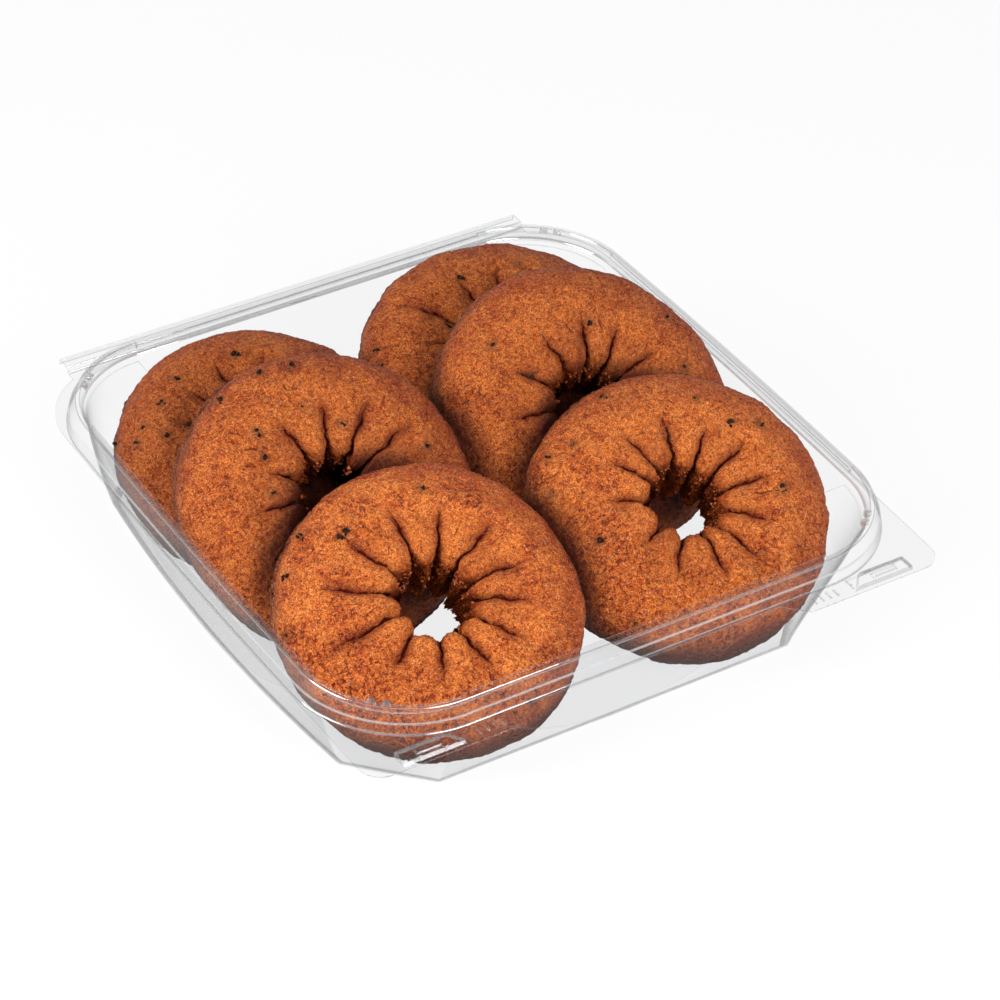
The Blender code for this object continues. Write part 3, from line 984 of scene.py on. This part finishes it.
def add_hinge(mesh, lip, edge):
    """The raised strip along the back edge, from the lip's straight stretch."""
    first = next(i for i, p in enumerate(lip) if p.y > RIM_HALF_Y and p.x < HINGE_HALF_X + 0.1)
    inner, outer = HINGE_Y
    profile = [
        (lip[-1].y, FLANGE_Z), (inner, FLANGE_Z), (inner + HINGE_SLANT, FLANGE_Z + HINGE_HEIGHT),
        (outer - HINGE_SLANT, FLANGE_Z + HINGE_HEIGHT), (outer, FLANGE_Z),
    ]
    section = rounded(profile, HINGE_BEND)[1:]
    rows = [edge[first:]]
    for (y, z), _ in section:
        rows.append([mesh.verts.new(Vector((p.x, y, z)) * MM) for p in lip[first:]])
    for (lower, upper), (_, finish) in zip(zip(rows, rows[1:]), [(None, FACE), *section]):
        skin(mesh, lower, upper, finish)


def flange_faces(mesh):
    """Flat faces of the front flange."""
    return [
        f for f in mesh.faces
        if f.calc_center_median().y < -RIM_HALF_Y * MM
        and all(abs(v.co.z - FLANGE_Z * MM) < WELD for v in f.verts)
    ]


def cut_flange(mesh, normal, places):
    """Splits the front flange along upright planes."""
    for place in places:
        geometry = {g for f in flange_faces(mesh) for g in (f, *f.edges, *f.verts)}
        bmesh.ops.bisect_plane(
            mesh, geom=list(geometry), plane_co=Vector(normal) * place * MM, plane_no=normal, dist=1e-7
        )


def trapezoid(value, low, high, edge):
    """0 outside low to high, 1 inside, with sloped sides of width edge."""
    return max(0.0, min(1.0, (value - low) / edge, (high - value) / edge))


def wedge_depth(x, y):
    """How far a place is past the slanting facet, towards the button's inner end."""
    return WEDGE_NORMAL.dot(Vector((x - BUTTON_X[0] - BUTTON_EDGE, y - BUTTON_Y[0], 0.0)))


def stamp_height(x, y):
    """Height pressed into the flange at a place: the snap button and the plain grip ribs."""
    button = trapezoid(x, *BUTTON_X, BUTTON_EDGE) * trapezoid(y, *BUTTON_Y, BUTTON_EDGE)
    button *= 1 - WEDGE_DROP / BUTTON_HEIGHT * trapezoid(wedge_depth(x, y), 0.0, math.inf, BUTTON_EDGE)
    tier = trapezoid(x, *TIER_X, BUTTON_EDGE) * trapezoid(y, *TIER_Y, BUTTON_EDGE)
    ribs = max(trapezoid(x, rib, rib + RIB_WIDTH, BUTTON_EDGE) for rib in RIB_X)
    ribs *= trapezoid(y, *RIB_Y, BUTTON_EDGE)
    return button * BUTTON_HEIGHT + tier * TIER_HEIGHT + ribs * RIB_HEIGHT


def stamp_tab(mesh):
    """Presses the button and the ribs into the tab."""
    x_lines, y_lines = set(), set()
    for low, high in (BUTTON_X, TIER_X, *((rib, rib + RIB_WIDTH) for rib in RIB_X)):
        x_lines |= {low, low + BUTTON_EDGE, high - BUTTON_EDGE, high}
    for low, high in (BUTTON_Y, TIER_Y, RIB_Y):
        y_lines |= {low, low + BUTTON_EDGE, high - BUTTON_EDGE, high}
    cut_flange(mesh, (1, 0, 0), sorted(x_lines))
    cut_flange(mesh, (0, 1, 0), sorted(y_lines))
    start = WEDGE_NORMAL.dot(Vector((BUTTON_X[0] + BUTTON_EDGE, BUTTON_Y[0], 0.0)))
    cut_flange(mesh, WEDGE_NORMAL, (start, start + BUTTON_EDGE))
    flange = flange_faces(mesh)
    for vertex in {v for f in flange for v in f.verts}:
        vertex.co.z += stamp_height(vertex.co.x * PER_MM, vertex.co.y * PER_MM) * MM
    mesh.normal_update()
    for face in flange:
        face.material_index = EDGE if abs(face.normal.z) < FLAT_FACE else FACE


def tray_mesh(settings):
    """The sheet's upper face, both halves."""
    outlines = Outlines(settings.side_steps, settings.corner_steps)
    rows = tray_rows(outlines, settings.bend * PER_MM)
    mesh = bmesh.new()
    grid = [([mesh.verts.new(p * MM) for p in row], finish) for row, finish in rows]
    mesh.faces.new(grid[0][0])
    for (lower, finish), (upper, _) in zip(grid, grid[1:]):
        skin(mesh, lower, upper, finish)
    for row, _ in grid[1:]:
        start = row[0].co * PER_MM
        if start.z > RIM_TOP - NEAR_EDGE and start.y > -RIM_HALF_Y - EDGE_REACH:
            mark_steps(row, outlines.set_back)
    add_hinge(mesh, rows[-1][0], grid[-1][0])
    mesh.normal_update()
    stamp_tab(mesh)
    everything = mesh.verts[:] + mesh.edges[:] + mesh.faces[:]
    bmesh.ops.mirror(mesh, geom=everything, merge_dist=WELD, axis="X")
    bmesh.ops.remove_doubles(mesh, verts=mesh.verts, dist=WELD)
    bmesh.ops.recalc_face_normals(mesh, faces=mesh.faces)
    if min(mesh.faces, key=lambda f: f.calc_center_median().z).normal.z < 0:
        bmesh.ops.reverse_faces(mesh, faces=mesh.faces)
    for face in mesh.faces:
        face.smooth = True
    return mesh


class DOUGHNUTBOX_OT_tray(Operator):
    """Form the clear tray with its rim, tabs, snap buttons and hinge strip"""

    bl_idname = "doughnut_box.tray"
    bl_label = "Clear tray"

    def execute(self, context):
        settings = context.scene.box_tray
        mirror = settings.bend_mirror
        sheet = clear_plastic("clear_sheet", settings, settings.sheet_mirror, shine=0.36, body=0.002)
        # the bends and edges carry more haze: painted dark lines in place of refraction
        bend = clear_plastic("clear_bend", settings, mirror, shine=0.85, body=0.08)
        edge = clear_plastic("clear_edge", settings, 0.4 * mirror, shine=0.40, body=0.15)
        piece = make_object("clear_tray", tray_mesh(settings), sheet, "clear_tray", "tray")
        piece.data.materials.append(bend)
        piece.data.materials.append(edge)
        wall = piece.modifiers.new("Sheet", "SOLIDIFY")
        wall.thickness = SHEET * MM
        wall.offset = -1.0
        wall.material_offset_rim = EDGE
        piece.modifiers.new("Flat faces", "WEIGHTED_NORMAL").weight = 100
        return {"FINISHED"}


# ---- Doughnuts


def band(around, near, far):
    """1 from the end of near to the start of far, and 0 outside the two."""
    return fade(around, *near) * (1 - fade(around, *far))


def on_ring(turn, flat, up):
    """Points at these turns, distances from the axis and heights."""
    return np.stack([flat * np.cos(turn), flat * np.sin(turn), up], axis=1)


def core_line(doughnut, turn):
    """The middle of the ring's section, in the tray."""
    return doughnut.to_world(on_ring(turn, doughnut.ring, np.zeros_like(turn)))


def pleat_fields(doughnut, turn, around, radius, wander):
    """What the pleats do at each place, with the number of the lobe that it is on.

    valley and split are depth shares of the hollow between two lobes and of the sharp crease in
    it. share runs from 0 to 1 across a lobe. crease is the distance in millimetres to the nearest
    crease, long where that has ended, and flank is 1 beside one.
    """
    starts, reach = np.array(doughnut.pleats, dtype=float).T
    swayed = (np.degrees(turn) + np.degrees(wander / radius)) % 360
    lobe = (np.searchsorted(starts, swayed, side="right") - 1) % len(starts)
    following = (lobe + 1) % len(starts)
    gap = (starts[following] - starts[lobe]) % 360
    share = ((swayed - starts[lobe]) % 360) / gap
    off_middle = np.abs(2 * share - 1)

    under = 4.0 * fade(around, *PLEATS_FAR)
    reach_near = np.where(share < 0.5, reach[lobe], reach[following]) - under
    reach_mean = mix(reach[lobe], reach[following], share) - under
    run = np.clip((reach_mean - radius) / (reach_mean - HOLE_RADIUS), 0.0, 1.0)
    crown = np.clip(1 - off_middle**2.0, 0.0, 1.0) ** 0.66
    valley = (1 - crown) * run**0.95

    aside = np.minimum(share, 1 - share) * np.radians(gap) * radius
    run = np.clip((reach_near - radius) / (reach_near - HOLE_RADIUS), 0.0, 1.0)
    broken = fade(wander, -0.9, 0.1)
    split = np.exp(-((aside / (0.20 + 0.30 * run)) ** 2)) * run**0.5 * mix(broken, 1.0, run)
    crease = aside - 0.22 * run + 1.2 * (1 - fade(run, 0.0, 0.4))
    flank = off_middle**2.6 * fade(run, 0.0, 0.45) * (1 - 0.45 * fade(run, 0.5, 0.9))
    return SimpleNamespace(
        valley=valley, split=split, lobe=lobe, off_middle=off_middle, crease=crease, flank=flank
    )


def short_cracks(doughnut, number, turn, around, wander):
    """Scattered splits of a few millimetres, mostly running out from the hole."""
    draw = random.Random(SEED * 100 + number)
    field = np.zeros_like(turn)
    for _ in range(NICKS):
        at_turn, at_around = draw.uniform(0, math.tau), draw.uniform(*NICK_AROUND)
        angle = draw.gauss(0.0, 0.6)
        length, depth = draw.uniform(*NICK_LENGTH), draw.uniform(0.4, 1.0)
        radius = doughnut.ring + doughnut.tube * math.cos(math.radians(at_around))
        across = ((turn - at_turn + math.pi) % math.tau - math.pi) * radius + 0.7 * wander
        along = np.radians(around - at_around) * doughnut.tube
        side = across * math.cos(angle) + along * math.sin(angle)
        run = along * math.cos(angle) - across * math.sin(angle)
        near = (np.abs(side) < 2.0) & (np.abs(run) < length)
        profile = np.exp(-((side / NICK_WIDTH) ** 2)) * (1 - (run / length) ** 2) * depth
        field = np.where(near, np.maximum(field, profile), field)
    return field


def torn_edge(doughnut, turn, around, in_hole, ragged):
    """1 where the hole's lining has torn away, over the doughnut's own stretch of turns."""
    first, last = doughnut.torn
    middle, half = math.radians((first + last) / 2), math.radians((last - first) / 2)
    off_middle = np.abs((turn - middle + math.pi) % math.tau - math.pi)
    stretch = 1 - fade(off_middle, half - 0.5, half + 0.3)
    return in_hole * stretch * fade(around + ragged, *TORN_NEAR)


def crust_shape(doughnut, number, turn, around, settings):
    """Points of the crust in the tray, with what the material needs to know about each.

    turn goes round the ring. around goes 0 at the outer edge, 90 on top and 180 in the hole.
    """
    angle = np.radians(around)
    power = 2 / np.where(np.cos(angle) < 0, HOLE_POWER, SECTION_POWER)
    across = np.copysign(np.abs(np.cos(angle)) ** power, np.cos(angle)) * doughnut.tube
    up = np.copysign(np.abs(np.sin(angle)) ** power, np.sin(angle)) * doughnut.thickness / 2
    flat = doughnut.ring + across
    plain = on_ring(turn, flat, up)

    swells = rough_field(plain, 13.0, 3, number)
    wander = rough_field(plain, 4.0, 2, number + 20)
    tears = 2.4 * np.abs(rough_field(plain, 2.0, 3, number + 40)) - 0.5
    grain = rough_field(plain, 1.15, 2, number + 60)
    patches = rough_field(plain, 7.0, 2, number + 80)
    folds = rough_field(on_ring(turn, FOLD_DRUM, 0.1 * around), 2.6, 2, number + 100)

    draw = random.Random(SEED * 10 + number)
    pokes = np.array([draw.uniform(*POKE) for _ in doughnut.pleats])
    toasted = np.array([draw.uniform(0.0, 1.0) ** 2 for _ in doughnut.pleats])
    pleat = pleat_fields(doughnut, turn, around, flat, wander * 0.9)
    cracks = short_cracks(doughnut, number, turn, around, wander)
    to_rough = np.cos(turn - math.radians(ROUGH_SIDE))
    rough = fade(patches + 0.35 * to_rough, -0.25, 0.45) * fade(flat, 17, 25)
    rough *= 0.9 - doughnut.shade
    pits = fade(-grain, 0.18, 0.5) * rough
    in_hole = band(around, HOLE_NEAR, HOLE_FAR)
    torn = torn_edge(doughnut, turn, around, in_hole, 8 * tears + 4 * swells)

    relief = PLUMP * fade(flat, doughnut.ring + 12, doughnut.ring)
    relief += SHOULDER * band(around, SHOULDER_NEAR, SHOULDER_FAR)
    relief -= (settings.pleat_depth * pleat.valley + settings.crack_depth * pleat.split) * PER_MM
    relief += in_hole * pokes[pleat.lobe] * (1 - pleat.off_middle**2)
    relief += SWELL * swells + WANDER * wander + FOLD * folds * fade(flat, doughnut.ring + 4, 16)
    relief += tears * (TEAR[0] + TEAR[1] * in_hole + TEAR[2] * torn) - TORN_STEP * torn
    relief += settings.grain * PER_MM * grain - NICK * cracks - PIT * pits

    size = np.ones_like(turn)
    for waves, part in LUMPS:
        size += part * np.sin(waves * turn + waves * doughnut.width + 0.5 * angle)
    size *= 1 + relief / np.hypot(across, up)
    local = on_ring(turn, doughnut.ring + across * size, up * size)
    points = settle(doughnut, doughnut.to_world(local), core_line(doughnut, turn))
    # painted light: the crust is more golden on the side turned to the light
    to_sun = np.cos(turn + math.radians(doughnut.turn - PAINTED_LIGHT_SIDE))
    looks = {
        "inward": -np.cos(angle) * 0.5 + 0.5,
        "upward": np.sin(angle) * 0.5 + 0.5,
        "sunny": 0.5 + 0.5 * to_sun * np.cos(angle / 2) ** 2,
        "flank": pleat.flank,
        "crease": pleat.crease,
        "cracks": np.maximum(cracks, 0.7 * pits),
        "rough": rough,
        "torn": torn,
        # how far into the hole: the mask of painted shade there
        "hole": band(around + 5 * wander, HOLE_SHADE_NEAR, HOLE_SHADE_FAR),
        # the mask of painted shade between the doughnuts
        "crowded": crowded(doughnut, points),
        # darker near the floor: the mask of painted shade there
        "low": 1 - fade(points[:, 2], 8, 22),
        "toasted": toasted[pleat.lobe] * (1 - pleat.off_middle**3) * fade(flat, 30, 14),
        "shade": np.full_like(turn, doughnut.shade),
    }
    return points, looks


def inside_tray(points):
    """True for the points that clear the floor and the walls."""
    x, y, z = points.T
    rise = (z - SHEET) / (RIM_TOP - SHEET)
    half_y = mix(FLOOR_HALF_Y, RIM_HALF_Y - LEDGE, rise) - REST_GAP
    along = (y / FLOOR_HALF_Y) ** 2
    floor_x = FLOOR_HALF_X + FLOOR_BOW * np.maximum(0.0, 1 - along / FLOOR_BOW_SPAN)
    rim_x = RIM_HALF_X - LEDGE + SIDE_BOW * np.maximum(0.0, 1 - along)
    within = (np.abs(y) < half_y) & (np.abs(x) < mix(floor_x, rim_x, rise) - REST_GAP)
    return (z > SHEET + REST_GAP) & (within | (rise > 1))


def fits(doughnut, points):
    """True for the points that are in the tray, and nearer to this doughnut than to a neighbour."""
    own = doughnut.size_at(points)
    good = inside_tray(points)
    for other in DOUGHNUTS:
        if other is not doughnut:
            room = (other.size_at(points) - own) * min(doughnut.thickness, other.thickness) / 2
            good &= room > TOUCH_GAP
    return good


def crowded(doughnut, points):
    """1 where a neighbour or its hole covers the crust, 0 where it is well away: where painted shade
    darkens the crust between the doughnuts.
    """
    own = doughnut.size_at(points)
    field = np.zeros(len(points))
    for other in DOUGHNUTS:
        if other is not doughnut:
            room = (other.size_at(points, hole=False) - own) * other.thickness / 2
            field = np.maximum(field, 1 - fade(room, 0.5, CROWD_SHADE_GAP))
    return field


def settle(doughnut, points, cores):
    """The points, drawn back towards the ring's core line until they fit."""
    pressed = np.flatnonzero(~fits(doughnut, points))
    outer, inner = points[pressed], cores[pressed]
    near, far = np.zeros(len(pressed)), np.ones(len(pressed))
    for _ in range(SETTLE_STEPS):
        middle = (near + far) / 2
        good = fits(doughnut, mix(inner, outer, middle[:, None]))
        near, far = np.where(good, middle, near), np.where(good, far, middle)
    points[pressed] = mix(inner, outer, near[:, None])
    return points


def ring_mesh(doughnut, columns, steps):
    """A plain ring: a circle spun round the axis, then each face split into a fine grid."""
    mesh = bmesh.new()
    upright = Matrix.Translation((doughnut.ring, 0, 0)) @ Matrix.Rotation(math.pi / 2, 4, "X")
    bmesh.ops.create_circle(
        mesh, segments=steps // (CUTS + 1), radius=doughnut.tube, matrix=upright
    )
    bmesh.ops.spin(
        mesh, geom=mesh.verts[:] + mesh.edges[:], cent=(0, 0, 0), axis=(0, 0, 1),
        angle=math.tau, steps=columns // (CUTS + 1), use_merge=True,
    )
    bmesh.ops.subdivide_edges(mesh, edges=mesh.edges[:], cuts=CUTS, use_grid_fill=True)
    bmesh.ops.recalc_face_normals(mesh, faces=mesh.faces)
    for face in mesh.faces:
        face.smooth = True
    return mesh


def make_doughnut(doughnut, number, settings, material):
    """One crust: its plain ring takes the crust's shape, and carries what the material reads."""
    piece = make_object(
        "crust_" + doughnut.node, ring_mesh(doughnut, settings.columns, settings.around), material,
        "crust", doughnut.node,
    )
    data = piece.data
    places = np.empty(len(data.vertices) * 3)
    data.vertices.foreach_get("co", places)
    x, y, z = places.reshape(-1, 3).T
    turn = np.arctan2(y, x) % math.tau
    around = np.degrees(np.arctan2(z, np.hypot(x, y) - doughnut.ring)) % 360
    points, looks = crust_shape(doughnut, number, turn, around, settings)
    looks["stain"] = stains(doughnut, number, points, settings)
    data.vertices.foreach_set("co", (points * MM).ravel())
    for name, values in looks.items():
        layer = data.attributes.new(name, "FLOAT", "POINT")
        layer.data.foreach_set("value", values.astype(np.float32))
    data.update()


def bit_places(doughnut, number, settings):
    """Where the fruit bits sit in the crust, in millimetres."""
    turn, around = np.array(doughnut.bits, dtype=float).T
    turn = np.radians(turn)
    points, _ = crust_shape(doughnut, number, turn, around, settings)
    return mix(points, core_line(doughnut, turn), BIT_SINK)


def stains(doughnut, number, points, settings):
    """Dark halo round each fruit bit."""
    field = np.zeros(len(points))
    for place in bit_places(doughnut, number, settings):
        away = np.linalg.norm(points - place, axis=1)
        field = np.maximum(field, np.exp(-((away / STAIN_REACH) ** 2)))
    return field


class DOUGHNUTBOX_OT_doughnuts(Operator):
    """Shape the six pleated doughnuts where they lie in the tray"""

    bl_idname = "doughnut_box.doughnuts"
    bl_label = "Doughnuts"

    def execute(self, context):
        settings = context.scene.box_doughnuts
        crust = crust_material(settings)
        for number, doughnut in enumerate(DOUGHNUTS):
            make_doughnut(doughnut, number, settings, crust)
        return {"FINISHED"}


# ---- Crumbs and fruit bits


def add_lump(mesh, place, width, flatness, draw):
    """One uneven lump, turned at random."""
    turn = draw.uniform(0, math.tau)
    turned = Matrix.Rotation(turn, 4, Vector([draw.gauss(0, 1) for _ in range(3)]))
    stretch = Matrix.Diagonal((1.0, draw.uniform(0.6, 1.0), flatness, 1.0))
    lump = bmesh.new()
    bmesh.ops.create_icosphere(lump, subdivisions=1, radius=width / 2 * MM)
    for vertex in lump.verts:
        vertex.co *= draw.uniform(0.72, 1.22)
        vertex.co = turned @ stretch @ vertex.co + Vector(place) * MM
    data = bpy.data.meshes.new("lump")
    lump.to_mesh(data)
    lump.free()
    mesh.from_mesh(data)
    bpy.data.meshes.remove(data)


class DOUGHNUTBOX_OT_crumbs(Operator):
    """Scatter loose crumbs on the torn edges of the holes"""

    bl_idname = "doughnut_box.crumbs"
    bl_label = "Crumbs"

    def execute(self, context):
        settings = context.scene.box_crumbs
        crust = context.scene.box_doughnuts
        draw = random.Random(SEED)
        mesh = bmesh.new()
        for number, doughnut in enumerate(DOUGHNUTS):
            first, last = doughnut.torn
            first, last = first - CRUMB_SPREAD, last + CRUMB_SPREAD
            turn = np.radians([draw.uniform(first, last) % 360 for _ in range(settings.count)])
            around = np.array([draw.triangular(*CRUMBS) for _ in range(settings.count)])
            points, _ = crust_shape(doughnut, number, turn, around, crust)
            for point in points:
                width = settings.size * PER_MM * draw.uniform(0.5, 1.5)
                add_lump(mesh, point, width, draw.uniform(0.5, 0.9), draw)
        make_object("crumbs", mesh, crumb_material(), "crumb")
        return {"FINISHED"}


class DOUGHNUTBOX_OT_fruit(Operator):
    """Set dark dried fruit bits into the crust"""

    bl_idname = "doughnut_box.fruit"
    bl_label = "Fruit bits"

    def execute(self, context):
        settings = context.scene.box_crumbs
        draw = random.Random(SEED + 1)
        mesh = bmesh.new()
        for number, doughnut in enumerate(DOUGHNUTS):
            for place in bit_places(doughnut, number, context.scene.box_doughnuts):
                size = settings.bit_size * PER_MM * draw.uniform(0.6, 1.2)
                for _ in range(BIT_LUMPS):
                    shifted = [p + draw.gauss(0, 0.18) * size for p in place]
                    add_lump(mesh, shifted, size * draw.uniform(0.35, 0.7), 0.5, draw)
        make_object("fruit_bits", mesh, fruit_material(), "fruit_bits")
        return {"FINISHED"}


# ---- Stage


def add_light(name, place, aim, size, power):
    """A soft square light of so many watts that faces the aim point."""
    data = bpy.data.lights.new(name, "AREA")
    data.shape = "SQUARE"
    data.size = size
    data.energy = power
    light = bpy.data.objects.new(name, data)
    light.location = place
    light.rotation_mode = "QUATERNION"
    light.rotation_quaternion = (Vector(aim) - Vector(place)).to_track_quat("-Z", "Y")
    bpy.context.scene.collection.objects.link(light)


def add_camera(settings):
    azimuth, elevation = settings.azimuth, settings.elevation
    forward = Vector(
        (
            math.sin(azimuth) * math.cos(elevation), math.cos(azimuth) * math.cos(elevation),
            -math.sin(elevation),
        )
    )
    right = Vector((math.cos(azimuth), -math.sin(azimuth), 0.0))
    up = right.cross(forward)
    c, s = math.cos(settings.roll), math.sin(settings.roll)
    turned = Matrix((c * right + s * up, -s * right + c * up, -forward)).transposed()
    data = bpy.data.cameras.new("camera")
    data.lens = settings.lens
    data.sensor_width = 36.0
    data.clip_start, data.clip_end = 0.01, 20.0
    camera = bpy.data.objects.new("camera", data)
    place = Vector(settings.aim) - forward * settings.distance
    camera.matrix_world = Matrix.Translation(place) @ turned.to_4x4()
    bpy.context.scene.collection.objects.link(camera)
    bpy.context.scene.camera = camera


def studio_world():
    """White walls round the table, under a dimmer ceiling."""
    nodes = Nodes(bpy.data.worlds.new("studio"))
    height = nodes.node("ShaderNodeSeparateXYZ", {}, {"Vector": nodes.node("ShaderNodeTexCoord")}, 2)
    ceiling = nodes.ramp(height, (0.12, 0.0), (0.42, 1.0))
    colour = nodes.blend(ceiling, (1.0, 1.0, 1.0), (0.15, 0.15, 0.153))
    light = nodes.node("ShaderNodeBackground", {}, {"Color": colour})
    return nodes.finish(light, "ShaderNodeOutputWorld")


class DOUGHNUTBOX_OT_stage(Operator):
    """Set the pale floor, the soft lights and the camera"""

    bl_idname = "doughnut_box.stage"
    bl_label = "Stage"

    def execute(self, context):
        scene = context.scene
        settings = scene.box_stage
        mesh = bmesh.new()
        low = Matrix.Translation((0, 0, -FLOOR_GAP * MM))
        bmesh.ops.create_circle(mesh, cap_ends=True, segments=96, radius=FLOOR_RADIUS, matrix=low)
        data = bpy.data.meshes.new("floor")
        mesh.to_mesh(data)
        mesh.free()
        floor = bpy.data.objects.new("floor", data)
        data.materials.append(floor_material(settings))
        scene.collection.objects.link(floor)

        for light in LIGHTS:
            add_light(*light)
        add_camera(settings)

        scene.world = studio_world()
        scene.view_settings.view_transform = "Standard"
        scene.cycles.transparent_max_bounces = 32
        return {"FINISHED"}


class DOUGHNUTBOX_PT_panel(Panel):
    """Lists the pieces of the box of doughnuts"""

    bl_idname = "DOUGHNUTBOX_PT_panel"
    bl_label = "Box of doughnuts"
    bl_space_type = "VIEW_3D"
    bl_region_type = "UI"
    bl_category = "Doughnuts"

    def draw(self, context):
        for operator in PIECES:
            self.layout.operator(operator.bl_idname)


SETTINGS = {
    "box_tray": TraySettings,
    "box_doughnuts": DoughnutSettings,
    "box_crumbs": CrumbSettings,
    "box_stage": StageSettings,
}
PIECES = (
    DOUGHNUTBOX_OT_tray,
    DOUGHNUTBOX_OT_doughnuts,
    DOUGHNUTBOX_OT_crumbs,
    DOUGHNUTBOX_OT_fruit,
    DOUGHNUTBOX_OT_stage,
)


def register():
    for cls in (*SETTINGS.values(), *PIECES, DOUGHNUTBOX_PT_panel):
        bpy.utils.register_class(cls)
    for name, cls in SETTINGS.items():
        setattr(bpy.types.Scene, name, PointerProperty(type=cls))


def unregister():
    for name in SETTINGS:
        delattr(bpy.types.Scene, name)
    for cls in reversed((*SETTINGS.values(), *PIECES, DOUGHNUTBOX_PT_panel)):
        bpy.utils.unregister_class(cls)


def main():
    register()
    bpy.ops.doughnut_box.tray()
    bpy.ops.doughnut_box.doughnuts()
    bpy.ops.doughnut_box.crumbs()
    bpy.ops.doughnut_box.fruit()
    bpy.ops.doughnut_box.stage()


if __name__ == "__main__":
    main()
